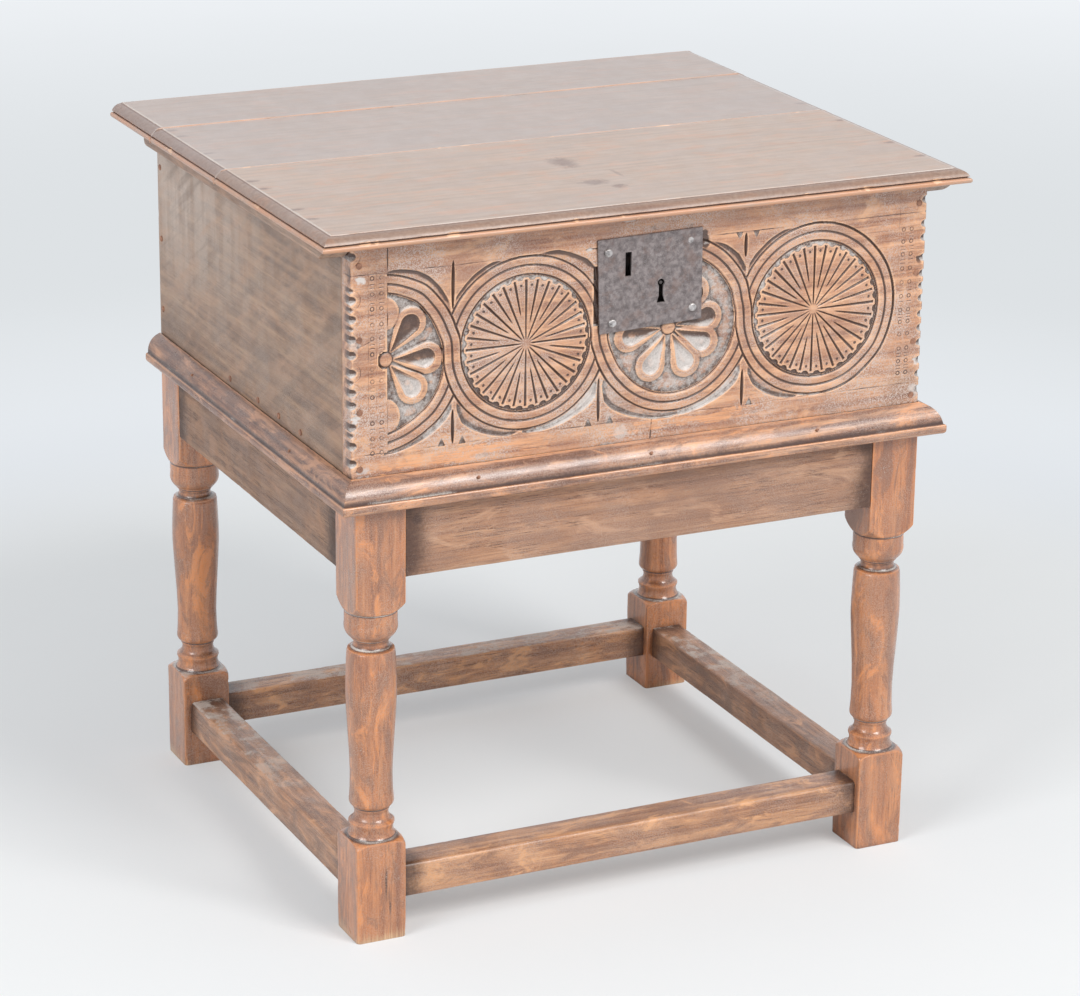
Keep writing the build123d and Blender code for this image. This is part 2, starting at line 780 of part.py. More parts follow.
lid_nail_x = lid_width / 2 - lid_nail_inset
joint_1 = lid_front + lid_front_board_share * lid_depth
joint_2 = joint_1 + lid_middle_board_share * lid_depth
lid_boards = {
    "lid_board_front": (lid_front, joint_1 - lid_joint_gap, 0.0),
    "lid_board_middle": (joint_1, joint_2 - lid_joint_gap, 0.0),
    "lid_board_back": (joint_2, lid_back, lid_back_proud),
}


def lid_nail_sites(right, steps):
    """Places of the nails along one edge of the lid, down into the cleat."""
    places = []
    for share in steps:
        y = lid_front + share * lid_depth
        top = lid_bottom + lid_thickness - crease_step
        if y > joint_2:
            top += lid_back_proud
        places.append(site((right * lid_nail_x, y, top), (0, 0, 1)))
    return places


lid_nail_places = {-1: lid_nail_sites(-1, left_nail_steps), 1: lid_nail_sites(1, right_nail_steps)}
for name, (start, end, proud) in lid_boards.items():
    top = lid_bottom + lid_thickness + proud
    with BuildPart() as lid_board:
        with BuildSketch(Plane.YZ):
            with BuildLine():
                if name == "lid_board_front":
                    lid_edge(start, 1, top)
                    Polyline(
                        (start + bead_radius, lid_bottom),
                        (end, lid_bottom),
                        (end, top),
                        (start + crease_inset, top),
                    )
                else:
                    Polyline((start, lid_bottom), (end, lid_bottom), (end, top), (start, top), close=True)
            make_face()
        extrude(amount=lid_width / 2, both=True)
        with BuildSketch(Plane.XZ):
            with BuildLine():
                Line((0, top), (lid_width / 2 - crease_inset, top))
                lid_edge(lid_width / 2, -1, top)
                Line((lid_width / 2 - bead_radius, lid_bottom), (0, lid_bottom))
                mirror(about=Plane.YZ)
            make_face()
        extrude(amount=lid_depth, both=True, mode=Mode.INTERSECT)
        for right in (-1, 1):
            bore(lid_nail, lid_nail_places[right])
        if name == "lid_board_back":
            for hinge_x in hinge_places.values():
                bore(hinge_nail, lid_leaf_sites(hinge_x))
    lid_board.part.label = name
    export_step(lid_board.part, f"parts/{name}.step")

for side, right in (("left", -1), ("right", 1)):
    cleat_bottom = lid_bottom - cleat_height
    cleat_front = lid_front + cleat_front_inset
    cleat_back = lid_back - cleat_back_inset
    with BuildPart() as cleat:
        with BuildSketch(Plane.YZ.offset(right * (box_side + cleat_clearance))):
            with BuildLine():
                Polyline(
                    (cleat_back, lid_bottom),
                    (cleat_front, lid_bottom),
                    (cleat_front + cleat_rake, cleat_bottom),
                    (cleat_back - cleat_round, cleat_bottom),
                )
                RadiusArc(
                    (cleat_back - cleat_round, cleat_bottom),
                    (cleat_back, cleat_bottom + cleat_round),
                    -cleat_round,
                )
                Line((cleat_back, cleat_bottom + cleat_round), (cleat_back, lid_bottom))
            make_face()
        extrude(amount=right * cleat_width)
        lower_edges = cleat.edges().filter_by(Axis.Y).group_by(Axis.Z)[0]
        fillet(lower_edges.sort_by(Axis.X)[-1 if right > 0 else 0], radius=cleat_arris)
        bore(lid_nail, lid_nail_places[right])
    cleat.part.label = f"cleat_{side}"
    export_step(cleat.part, f"parts/cleat_{side}.step")

with BuildPart() as lid_nails:
    for right in (-1, 1):
        drive(lid_nail, lid_nail_places[right])
lid_nails.part.label = "lid_nails"
export_step(lid_nails.part, "parts/lid_nails.step")


# ---- hinges ---------------------------------------------------------------------------------
def barrel(hinge_x, start, end, radius, mode=Mode.ADD):
    """Cylinder about the hinge pin between two distances from the middle of the hinge."""
    with Locations(site((hinge_x + start, pivot_y, pivot_z), (1, 0, 0))):
        Cylinder(radius, end - start, align=(Align.CENTER, Align.CENTER, Align.MIN), mode=mode)


barrel_end = hinge_leaf_neck / 2
barrel_split = barrel_end - hinge_side_barrel
clear_radius = knuckle_radius + 2 * hinge_gap
for side, hinge_x in hinge_places.items():
    with BuildPart() as box_leaf:
        with BuildSketch(Plane(origin=(hinge_x, box_back, pivot_z), x_dir=(1, 0, 0), z_dir=(0, -1, 0))):
            with BuildLine():
                Polyline(
                    (-hinge_leaf_neck / 2, 0),
                    (-hinge_leaf_spread / 2, -hinge_box_leaf_height),
                    (hinge_leaf_spread / 2, -hinge_box_leaf_height),
                    (hinge_leaf_neck / 2, 0),
                    close=True,
                )
            make_face()
        extrude(amount=-hinge_leaf_thickness)
        barrel(hinge_x, -barrel_split - hinge_gap, barrel_split + hinge_gap, clear_radius, Mode.SUBTRACT)
        barrel(hinge_x, -barrel_end, -barrel_split - hinge_gap, knuckle_radius)
        barrel(hinge_x, barrel_split + hinge_gap, barrel_end, knuckle_radius)
        barrel(hinge_x, -barrel_end, barrel_end, hinge_pin_radius + hinge_pin_clearance, Mode.SUBTRACT)
        bore(hinge_nail, box_leaf_sites(hinge_x))
    box_leaf.part.label = f"hinge_{side}_box_leaf"
    export_step(box_leaf.part, f"parts/hinge_{side}_box_leaf.step")

    with BuildPart() as lid_leaf:
        with BuildSketch(Plane(origin=(hinge_x, pivot_y, lid_leaf_face))):
            with BuildLine():
                Polyline(
                    (-hinge_leaf_neck / 2, 0),
                    (-hinge_leaf_spread / 2, hinge_lid_leaf_reach),
                    (hinge_leaf_spread / 2, hinge_lid_leaf_reach),
                    (hinge_leaf_neck / 2, 0),
                    close=True,
                )
            make_face()
        extrude(amount=hinge_leaf_thickness)
        barrel(hinge_x, -hinge_leaf_spread, -barrel_split, clear_radius, Mode.SUBTRACT)
        barrel(hinge_x, barrel_split, hinge_leaf_spread, clear_radius, Mode.SUBTRACT)
        barrel(hinge_x, -barrel_split, barrel_split, knuckle_radius)
        barrel(hinge_x, -barrel_end, barrel_end, hinge_pin_radius + hinge_pin_clearance, Mode.SUBTRACT)
        bore(hinge_nail, lid_leaf_sites(hinge_x))
    lid_leaf.part.label = f"hinge_{side}_lid_leaf"
    export_step(lid_leaf.part, f"parts/hinge_{side}_lid_leaf.step")

with BuildPart() as hinge_pins:
    for hinge_x in hinge_places.values():
        barrel(hinge_x, -barrel_end, barrel_end, hinge_pin_radius)
hinge_pins.part.label = "hinge_pins"
export_step(hinge_pins.part, "parts/hinge_pins.step")

for name, sites in (("hinge_box_nails", box_leaf_sites), ("hinge_lid_nails", lid_leaf_sites)):
    with BuildPart() as nails:
        for hinge_x in hinge_places.values():
            drive(hinge_nail, sites(hinge_x))
    nails.part.label = name
    export_step(nails.part, f"parts/{name}.step")
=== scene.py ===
"""Looks of a boarded oak box on its joined stand: carving, wear, finishes, light and camera.

Sizes are in millimetres, as a joiner would write them, and become metres where a mesh is made.
X runs to the right, Y to the back and Z up from the floor.
"""

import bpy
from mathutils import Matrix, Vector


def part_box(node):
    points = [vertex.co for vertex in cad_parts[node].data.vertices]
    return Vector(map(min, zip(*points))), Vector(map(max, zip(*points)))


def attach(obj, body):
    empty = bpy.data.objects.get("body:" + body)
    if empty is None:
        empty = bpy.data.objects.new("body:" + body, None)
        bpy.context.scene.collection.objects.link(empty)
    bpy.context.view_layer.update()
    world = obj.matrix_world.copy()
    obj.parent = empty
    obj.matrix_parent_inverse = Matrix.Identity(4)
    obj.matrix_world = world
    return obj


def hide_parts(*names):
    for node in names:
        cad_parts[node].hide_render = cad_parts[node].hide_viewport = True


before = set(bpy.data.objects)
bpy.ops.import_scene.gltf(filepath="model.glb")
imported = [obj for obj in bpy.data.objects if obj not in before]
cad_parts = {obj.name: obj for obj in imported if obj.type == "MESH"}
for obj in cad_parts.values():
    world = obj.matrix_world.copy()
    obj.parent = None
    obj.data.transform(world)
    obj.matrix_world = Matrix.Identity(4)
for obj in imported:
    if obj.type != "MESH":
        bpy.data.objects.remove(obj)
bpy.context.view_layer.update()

import logging
import math
from collections.abc import Callable, Sequence
from dataclasses import dataclass, field
from enum import Enum
from functools import cache, reduce

import bpy
import numpy as np
from mathutils import Matrix, Vector

LOG = logging.getLogger("bible_box")
MM = 0.001
TINY = 1e-9
Colour = tuple[float, float, float]
Array = np.ndarray
Socket = bpy.types.NodeSocket
Value = Socket | float
Inputs = dict[str | int, Socket | float | Sequence[float]]
MARKS = {"Wear": "wear", "Grimed": "grime", "Dusted": "dust", "Bare": "bare"}


class Grain(Enum):
    """Way the grain of a piece runs: the order in which X, Y and Z are read."""

    X = (0, 1, 2)
    Y = (1, 0, 2)
    Z = (2, 1, 0)


class Body(Enum):
    """Moving body that a piece rides on."""

    STAND = "stand"
    BOX = "box"
    LID = "lid"


class Kind(Enum):
    """Kind of a socket of a shared group of nodes."""

    NUMBER = "NodeSocketFloat"
    COLOUR = "NodeSocketColor"
    VECTOR = "NodeSocketVector"


# ---- small numeric tools ----
def ease(value: Array, low: float, high: float) -> Array:
    """Smooth step of value from 0 at low to 1 at high.

    Args:
        value: Numbers to turn into a mask.
        low: Where the mask is 0.
        high: Where the mask is 1.

    Returns:
        The mask, from 0 to 1.
    """
    t = np.clip((value - low) / (high - low), 0.0, 1.0)
    return t * t * (3.0 - 2.0 * t)


def vee(distance: Array, half_width: Array | float) -> Array:
    """Cross-section of a V cut: 1 in its middle and 0 at its edges."""
    return np.clip(1.0 - np.abs(distance) / half_width, 0.0, 1.0)


def unit(rows: Array) -> Array:
    """Rows of coordinates, each scaled to a length of 1."""
    return rows / np.maximum(np.linalg.norm(rows, axis=1, keepdims=True), TINY)


def signed_area(outline: Array) -> float:
    """Twice the area inside a closed outline, positive where it runs anticlockwise."""
    ahead = np.roll(outline, -1, axis=0)
    return np.sum(outline[:, 0] * ahead[:, 1] - ahead[:, 0] * outline[:, 1])


def put(name: str, data: bpy.types.ID) -> bpy.types.Object:
    """Puts a new object into the scene.

    Args:
        name: Its name.
        data: Its mesh, lamp or camera.

    Returns:
        The object.
    """
    made = bpy.data.objects.new(name, data)
    bpy.context.scene.collection.objects.link(made)
    return made


class Lattice:
    """Smooth noise on a lattice of seeded numbers, from -1 to 1."""

    SIZE = 64

    def __init__(self, seed: int) -> None:
        """Fills the lattice from the seed."""
        self.table = np.random.default_rng(seed).uniform(-1.0, 1.0, (self.SIZE,) * 3)

    def at(self, x: Array, y: Array, z: Array) -> Array:
        """Noise at points given in lattice cells.

        Args:
            x: First coordinates.
            y: Second coordinates.
            z: Third coordinates.

        Returns:
            The noise at each point.
        """
        x, y, z = np.broadcast_arrays(x, y, z)
        cells, parts = [], []
        for c in (x, y, z):
            low = np.floor(c)
            t = c - low
            cells.append(low.astype(int))
            parts.append(t * t * (3.0 - 2.0 * t))
        total = np.zeros(x.shape)
        for corner in range(8):
            weight, index = 1.0, []
            for k in range(3):
                bit = corner >> k & 1
                weight = weight * (parts[k] if bit else 1.0 - parts[k])
                index.append((cells[k] + bit) % self.SIZE)
            total = total + weight * self.table[tuple(index)]
        return total

    def rough(self, points: Array, scale: Sequence[float], octaves: int = 2) -> Array:
        """Several octaves of noise at points in millimetres.

        Args:
            points: Array whose last axis holds X, Y and Z.
            scale: Size of one cell along each axis, in millimetres.
            octaves: How many finer layers are added up.

        Returns:
            The noise, about -1 to 1.
        """
        total, gain = np.zeros(points.shape[:-1]), 1.0
        cells = points / np.asarray(scale, float)
        for n in range(octaves):
            shift = 17.3 * n
            total = total + gain * self.at(
                cells[..., 0] + shift, cells[..., 1] + shift, cells[..., 2] + shift
            )
            cells, gain = cells * 2.03, gain * 0.5
        return total / (2.0 - gain * 2.0)


NOISE = Lattice(7)


# ---- meshes ----
@dataclass
class Shell:
    """A mesh in the making, with the marks that its finish reads."""

    points: Array
    faces: list
    wear: Array | None = None
    grime: Array | None = None
    dust: Array | None = None
    bare: Array | None = None

    def build(
        self,
        name: str,
        body: Body,
        slot: str,
        material: bpy.types.Material,
        nodes: Sequence[str],
        sharp: float = 38.0,
    ) -> bpy.types.Object:
        """Makes the Blender object and ties it to the frame.

        Args:
            name: Name of the piece.
            body: Body that it rides on.
            slot: Material slot of the record; not used.
            material: Its finish.
            nodes: CAD nodes that it stands for.
            sharp: Angle between faces, in degrees, over which an edge stays crisp.

        Returns:
            The object.
        """
        mesh = bpy.data.meshes.new(name)
        mesh.from_pydata((self.points * MM).tolist(), [], self.faces)
        mesh.validate()
        for mark in MARKS.values():
            values = getattr(self, mark)
            if values is not None:
                layer = mesh.attributes.new(mark, "FLOAT", "POINT")
                layer.data.foreach_set("value", np.clip(values, 0, 1).astype(np.float32))
        mesh.shade_smooth()
        mesh.set_sharp_from_angle(angle=math.radians(sharp))
        mesh.materials.append(material)
        piece = put(name, mesh)
        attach(piece, body.value)
        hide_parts(*nodes)
        LOG.info("%s: %d points, %d faces", name, len(self.points), len(mesh.polygons))
        return piece


def rounded(corners: Sequence[tuple[float, float, float]], steps: int = 4) -> Array:
    """Closed outline with rounded corners.

    Args:
        corners: Corners in order, each with its radius.
        steps: Points on each rounding, less one.

    Returns:
        The points of the outline, one row each.
    """
    made: list[Array] = []
    count = len(corners)
    for n, (x, y, radius) in enumerate(corners):
        here = np.array((x, y), float)
        before = np.array(corners[n - 1][:2], float) - here
        after = np.array(corners[(n + 1) % count][:2], float) - here
        if radius <= 0:
            made.append(here)
            continue
        before /= np.linalg.norm(before)
        after /= np.linalg.norm(after)
        half = math.acos(float(np.clip(before @ after, -1, 1))) / 2
        reach = radius / math.tan(half)
        middle = here + (before + after) / np.linalg.norm(before + after) * radius / math.sin(half)
        first, last = here + before * reach - middle, here + after * reach - middle
        a0, a1 = math.atan2(first[1], first[0]), math.atan2(last[1], last[0])
        turn = (a1 - a0 + math.pi) % (2 * math.pi) - math.pi
        for t in np.linspace(0, 1, steps + 1):
            a = a0 + turn * t
            made.append(middle + radius * np.array((math.cos(a), math.sin(a))))
    return np.array(made)


def arc(start: Sequence[float], end: Sequence[float], sagitta: float, steps: int = 8) -> Array:
    """Flat arc between two points.

    Args:
        start: Its first point.
        end: Its last point.
        sagitta: How far it bulges, to the left when positive.
        steps: Points on the arc, less one.

    Returns:
        The points of the arc, one row each.
    """
    a, b = np.array(start, float), np.array(end, float)
    t = np.linspace(0, 1, steps + 1)[:, None]
    side = np.array((a[1] - b[1], b[0] - a[0])) / np.linalg.norm(b - a)
    return a + (b - a) * t + side * (4 * sagitta * t * (1 - t))


def densify(outline: Array, step: float) -> Array:
    """Closed outline with points added so that its sides are short.

    Args:
        outline: Its points, one row each.
        step: Longest side that is left.

    Returns:
        The points of the finer outline.
    """
    made = []
    for a, b in zip(outline, np.roll(outline, -1, axis=0)):
        pieces = max(1, math.ceil(float(np.linalg.norm(b - a)) / step))
        made.extend(a + (b - a) * k / pieces for k in range(pieces))
    return np.array(made)


def turned_normals(outline: Array) -> tuple[Array, Array]:
    """Reads how a closed outline turns.

    Args:
        outline: Its points, one row each.

    Returns:
        The outward normal at each point, and how convex the outline is there.
    """
    before = unit(outline - np.roll(outline, 1, axis=0))
    after = unit(np.roll(outline, -1, axis=0) - outline)
    tangent = before + after
    normal = unit(np.stack((tangent[:, 1], -tangent[:, 0]), 1))
    bend = before[:, 0] * after[:, 1] - before[:, 1] * after[:, 0]
    if signed_area(outline) < 0:
        normal, bend = -normal, -bend
    return normal, bend


def spread(values: Array, passes: int) -> Array:
    """Lets high values round a closed outline run into their neighbours.

    Args:
        values: One value a point.
        passes: How many neighbours each value reaches.

    Returns:
        The values, none lower than before.
    """
    for _ in range(passes):
        values = np.maximum(values, 0.6 * np.maximum(np.roll(values, 1, 0), np.roll(values, -1, 0)))
    return values


def tube_faces(stations: int, count: int) -> Array:
    """Faces of a tube whose points come ring by ring.

    Args:
        stations: Number of rings.
        count: Points in each ring.

    Returns:
        The numbers of each face's four points, one row each.
    """
    ring, step = np.arange(stations - 1)[:, None] * count, np.arange(count)[None]
    low, beside = (ring + step).ravel(), (ring + (step + 1) % count).ravel()
    return np.stack((low, beside, beside + count, low + count), 1)


def tube_caps(stations: int, count: int) -> list[list[int]]:
    """The two faces that close a tube at its ends."""
    return [list(range(count))[::-1], list(range((stations - 1) * count, stations * count))]


def grid_faces(index: Array) -> Array:
    """Faces between the points of a grid, given the number of each point."""
    corners = (index[:-1, :-1], index[1:, :-1], index[1:, 1:], index[:-1, 1:])
    return np.stack(corners, -1).reshape(-1, 4)


@dataclass
class Run:
    """A length of wood of one section, worn along its arrises.

    The section's first coordinate points out and its second up; the run goes along the third.
    """

    section: Array
    starts: Array
    ends: Array
    origin: Sequence[float]
    out: Sequence[float]
    along: Sequence[float]
    spacing: float = 4.0
    wear_depth: float = 0.5
    sway: float = 0.15
    seed: float = 0.0
    end_grime: float = 0.0
    handled_reach: float = 42.0

    def place(self, t: Array) -> Array:
        """Lays the section out along the run.

        Args:
            t: Share of the length at each station, in a column.

        Returns:
            The points, station by station.
        """
        out, along, up = np.array(self.out, float), np.array(self.along, float), np.array((0.0, 0.0, 1.0))
        way = self.starts[None, :] * (1 - t) + self.ends[None, :] * t
        flat = self.section[None, :, 0, None] * out + self.section[None, :, 1, None] * up
        return np.array(self.origin, float) + flat + way[..., None] * along

    def turned_inside_out(self) -> bool:
        """Finds out which way the faces look.

        Returns:
            Whether the faces, as they are numbered, look inwards.
        """
        way = 1 if self.ends[0] > self.starts[0] else -1
        turn = np.dot(np.cross(np.array(self.out, float), (0.0, 0.0, 1.0)), np.array(self.along, float))
        return float(turn) * signed_area(self.section) * way < 0

    def shell(self) -> Shell:
        """Makes the mesh, closed at both ends.

        Returns:
            The mesh in the making, its arrises rubbed and its hollows marked.
        """
        length = float(np.max(np.abs(self.ends - self.starts)))
        stations, count = max(2, round(length / self.spacing) + 1), len(self.section)
        t = np.linspace(0, 1, stations)[:, None]
        normal, bend = turned_normals(self.section)
        convex = spread(np.clip(bend * 2.2, 0, 1), 2)
        hollow = spread(np.clip(-bend * 2.2, 0, 1), 2)
        points = self.place(t)
        shifted = points + self.seed * 37.0
        rub = 0.5 + 0.5 * NOISE.rough(shifted, (26, 26, 26), 3)
        nibble = np.clip(NOISE.rough(shifted + 90, (7, 7, 7), 2) * 1.6 - 0.5, 0, 1)
        push = -self.wear_depth * convex * (0.35 + 0.8 * rub + 1.3 * nibble)
        push = push + self.sway * NOISE.rough(shifted + 300, (70, 70, 70), 1)
        push[0], push[-1] = push[0] * 0.4, push[-1] * 0.4
        upward = np.array((0.0, 0.0, 1.0))
        wide = normal[:, 0, None] * np.array(self.out, float) + normal[:, 1, None] * upward
        points = points + push[..., None] * wide[None]
        faces = tube_faces(stations, count).tolist() + tube_caps(stations, count)
        if self.turned_inside_out():
            faces = [f[::-1] for f in faces]
        from_end = (0.5 - np.abs(t - 0.5)) * length
        handled = self.end_grime * ease(from_end, self.handled_reach, 0.0) * np.clip(0.3 + 1.1 * rub, 0, 1)
        powder = np.clip(1.1 * NOISE.rough(shifted + 500, (45, 45, 45), 3), 0, 0.6)
        return Shell(
            points.reshape(-1, 3),
            faces,
            wear=(convex * (0.35 + 0.9 * rub)).ravel(),
            grime=np.maximum(np.broadcast_to(hollow, rub.shape), handled).ravel(),
            dust=(hollow * powder).ravel(),
        )


# ---- shader writing ----
def paint(shade: Colour) -> tuple[float, float, float, float]:
    """Screen colour from 0 to 255 as the linear colour that Blender takes."""
    linear = [(c / 255 / 12.92) if c <= 10 else ((c / 255 + 0.055) / 1.055) ** 2.4 for c in shade]
    return (linear[0], linear[1], linear[2], 1.0)


class Sheet:
    """Writes nodes into one node tree, in short calls."""

    def __init__(self, tree: bpy.types.NodeTree) -> None:
        """Keeps the tree to write into."""
        self.tree = tree

    def fill(self, node: bpy.types.Node, inputs: Inputs) -> bpy.types.Node:
        """Gives a node its inputs.

        Args:
            node: The node.
            inputs: Sockets to link, or values to set, by name or number; a colour of three
                numbers is a screen colour.

        Returns:
            The node.
        """
        for key, value in inputs.items():
            socket = node.inputs[key]
            if isinstance(value, Socket):
                self.tree.links.new(value, socket)
            elif socket.type == "RGBA" and len(value) == 3:
                socket.default_value = paint(value)
            else:
                socket.default_value = value
        return node

    def add(self, kind: str, inputs: Inputs | None = None, **settings: str | float) -> bpy.types.Node:
        """Adds a node.

        Args:
            kind: Blender's name of the node, without ShaderNode.
            inputs: Values or sockets for its inputs, by name or number.
            settings: Properties of the node.

        Returns:
            The node.
        """
        node = self.tree.nodes.new("ShaderNode" + kind)
        for key, value in settings.items():
            setattr(node, key, value)
        return self.fill(node, inputs or {})

    def apply(self, effects: Sequence[Callable], values: object, have: dict[str, Socket]) -> None:
        """Places shared effects one after another, each fed by name.

        Args:
            effects: Functions that give their groups.
            values: The finish, with a field for each input that isn't at hand.
            have: Sockets at hand by name, to which each effect's outputs are added.
        """
        for effect in effects:
            node = self.tree.nodes.new("ShaderNodeGroup")
            node.node_tree = effect()
            for socket in node.inputs:
                own = socket.name.lower().replace(" ", "_")
                value = have[socket.name] if socket.name in have else getattr(values, own)
                self.fill(node, {socket.name: value})
            have.update({output.name: output for output in node.outputs})

    def cover(self, shader: bpy.types.Node, have: dict[str, Socket], strength: float, depth: float) -> None:
        """Links a finish's colour, roughness and relief to its shader.

        Args:
            shader: The shader.
            have: Sockets by name: Colour, Roughness and Height.
            strength: How strongly the relief shows.
            depth: How deep it is, in millimetres.
        """
        relief = {"Strength": strength, "Distance": MM * depth, "Height": have["Height"]}
        bump = self.add("Bump", relief).outputs[0]
        self.fill(shader, {"Base Color": have["Colour"], "Roughness": have["Roughness"], "Normal": bump})

    def math(self, operation: str, a: Value, b: Value = 0.0, clamp: bool = False) -> Socket:
        """Result of a sum on two numbers."""
        return self.add("Math", {0: a, 1: b}, operation=operation, use_clamp=clamp).outputs[0]

    def plus(self, *numbers: Value) -> Socket:
        """Sum of two or more numbers."""
        return reduce(lambda a, b: self.math("ADD", a, b), numbers)

    def times(self, a: Value, b: Value) -> Socket:
        """Product of two numbers."""
        return self.math("MULTIPLY", a, b)

    def about(self, value: Value, gain: Value) -> Socket:
        """How far a value of about one half is from it, times a gain."""
        return self.times(self.math("SUBTRACT", value, 0.5), gain)

    def scale(self, vector: Socket, factors: Sequence[float], shift: Sequence[float] = (0, 0, 0)) -> Socket:
        """Vector times factors, plus a shift."""
        inputs = {0: vector, 1: tuple(factors), 2: tuple(shift)}
        return self.add("VectorMath", inputs, operation="MULTIPLY_ADD").outputs[0]

    def length(self, vector: Socket) -> Socket:
        """Length of a vector."""
        return self.add("VectorMath", {0: vector}, operation="LENGTH").outputs["Value"]

    def split(self, vector: Socket) -> bpy.types.NodeOutputs:
        """The three numbers of a vector."""
        return self.add("SeparateXYZ", {0: vector}).outputs

    def mix(self, factor: Value, a: Socket | Colour, b: Socket | Colour) -> Socket:
        """Colour a turned towards colour b by the factor."""
        return self.add("Mix", {0: factor, 6: a, 7: b}, data_type="RGBA").outputs[2]

    def band(self, value: Value, low: Value, high: Value, start: Value = 0.0, end: Value = 1.0) -> Socket:
        """Value as a soft step from start at low to end at high."""
        inputs = {0: value, 1: low, 2: high, 3: start, 4: end}
        return self.add("MapRange", inputs, interpolation_type="SMOOTHSTEP").outputs[0]

    def noise(
        self, vector: Socket, scale: float = 1.0, detail: float = 3.0, rough: float = 0.5, twist: float = 0.0
    ) -> Socket:
        """Cloudy noise, about 0 to 1."""
        inputs = {"Vector": vector, "Scale": scale, "Detail": detail,
                  "Roughness": rough, "Distortion": twist}
        return self.add("TexNoise", inputs).outputs[0]

    def cells(self, vector: Socket, scale: float, output: str = "Distance") -> Socket:
        """Distances, or another output, of a pattern of scattered points."""
        return self.add("TexVoronoi", {"Vector": vector, "Scale": scale}, feature="F1").outputs[output]

    def mark(self, name: str) -> Socket:
        """A mark that the mesh carries, from 0 to 1."""
        return self.add("Attribute", attribute_name=name, attribute_type="GEOMETRY").outputs["Fac"]

    def millimetres(self) -> Socket:
        """Place on the object in millimetres."""
        return self.scale(self.add("TexCoord").outputs["Object"], (1 / MM, 1 / MM, 1 / MM))


def start_group(
    name: str, vectors: str = "", colours: str = "", numbers: str = "", gives: str = ""
) -> tuple[Sheet, Callable, list[Socket]]:
    """Starts a shared group of nodes; names of its sockets are parted by commas.

    Args:
        name: Name of the group.
        vectors: Its inputs that are vectors.
        colours: Its inputs that are colours.
        numbers: Its inputs that are numbers.
        gives: Its outputs; one called Colour is a colour, the others are numbers.

    Returns:
        The sheet to write in, a function that links an output by name, and the inputs in order.
    """
    tree = bpy.data.node_groups.new(name, "ShaderNodeTree")
    for names, kind in ((vectors, Kind.VECTOR), (colours, Kind.COLOUR), (numbers, Kind.NUMBER)):
        for socket in filter(None, names.split(", ")):
            tree.interface.new_socket(socket, in_out="INPUT", socket_type=kind.value)
    for socket in gives.split(", "):
        kind = Kind.COLOUR if socket == "Colour" else Kind.NUMBER
        tree.interface.new_socket(socket, in_out="OUTPUT", socket_type=kind.value)
    entry, leave = tree.nodes.new("NodeGroupInput"), tree.nodes.new("NodeGroupOutput")
    inputs = [socket for socket in entry.outputs if socket.name]
    return Sheet(tree), lambda key, socket: tree.links.new(socket, leave.inputs[key]), inputs


def start_material(name: str) -> tuple[bpy.types.Material, Sheet, bpy.types.Node]:
    """Starts a material.

    Args:
        name: Name of the material.

    Returns:
        The material, the sheet to write in, and its shader.
    """
    material = bpy.data.materials.new(name)
    material.use_nodes = True
    return material, Sheet(material.node_tree), material.node_tree.nodes["Principled BSDF"]


# ---- effects that several finishes share ----
@cache
def oak_figure() -> bpy.types.NodeTree:
    """Writes the figure of old sawn oak, its grain along X.

    Returns:
        The group: growth rings, fibre, pores, ray flecks, clouds and mottle.
    """
    s, give, (run,) = start_group("oak figure", "Run", gives="Growth, Fibre, Pores, Rays, Cloud, Mottle")
    sway = s.noise(s.scale(run, (0.0022, 0.013, 0.013)), 1.0, 3.0, 0.5)
    across = s.split(run)
    width = s.plus(across[1], s.times(across[2], 0.6))
    rings = s.math("SINE", s.plus(s.times(width, 0.55), s.times(sway, 26.0)))
    soft = s.noise(s.scale(run, (0.0035, 0.2, 0.2), (3, 7, 1)), 1.0, 5.0, 0.6, 0.2)
    give("Growth", s.math("ADD", s.times(rings, 0.1), soft, clamp=True))
    give("Fibre", s.noise(s.scale(run, (0.02, 0.95, 0.95)), 1.0, 5.0, 0.62))
    pores = s.noise(s.scale(run, (0.035, 0.9, 0.9), (9, 2, 5)), 1.0, 3.0, 0.6)
    crowd = s.noise(s.scale(run, (0.006, 0.11, 0.11), (1, 4, 8)), 1.0, 2.0)
    give("Pores", s.times(s.band(pores, 0.52, 0.64), s.band(crowd, 0.38, 0.62, 0.25, 1.0)))
    give("Rays", s.band(s.noise(s.scale(run, (0.14, 0.05, 0.4), (2, 8, 3)), 1.0, 2.0, 0.5, 0.8), 0.6, 0.7))
    give("Mottle", s.noise(s.scale(run, (0.016, 0.045, 0.045), (8, 2, 7)), 1.0, 7.0, 0.68, 0.9))
    give("Cloud", s.noise(s.scale(run, (0.006, 0.014, 0.014), (5, 5, 5)), 1.0, 5.0, 0.6, 0.5))
    return s.tree


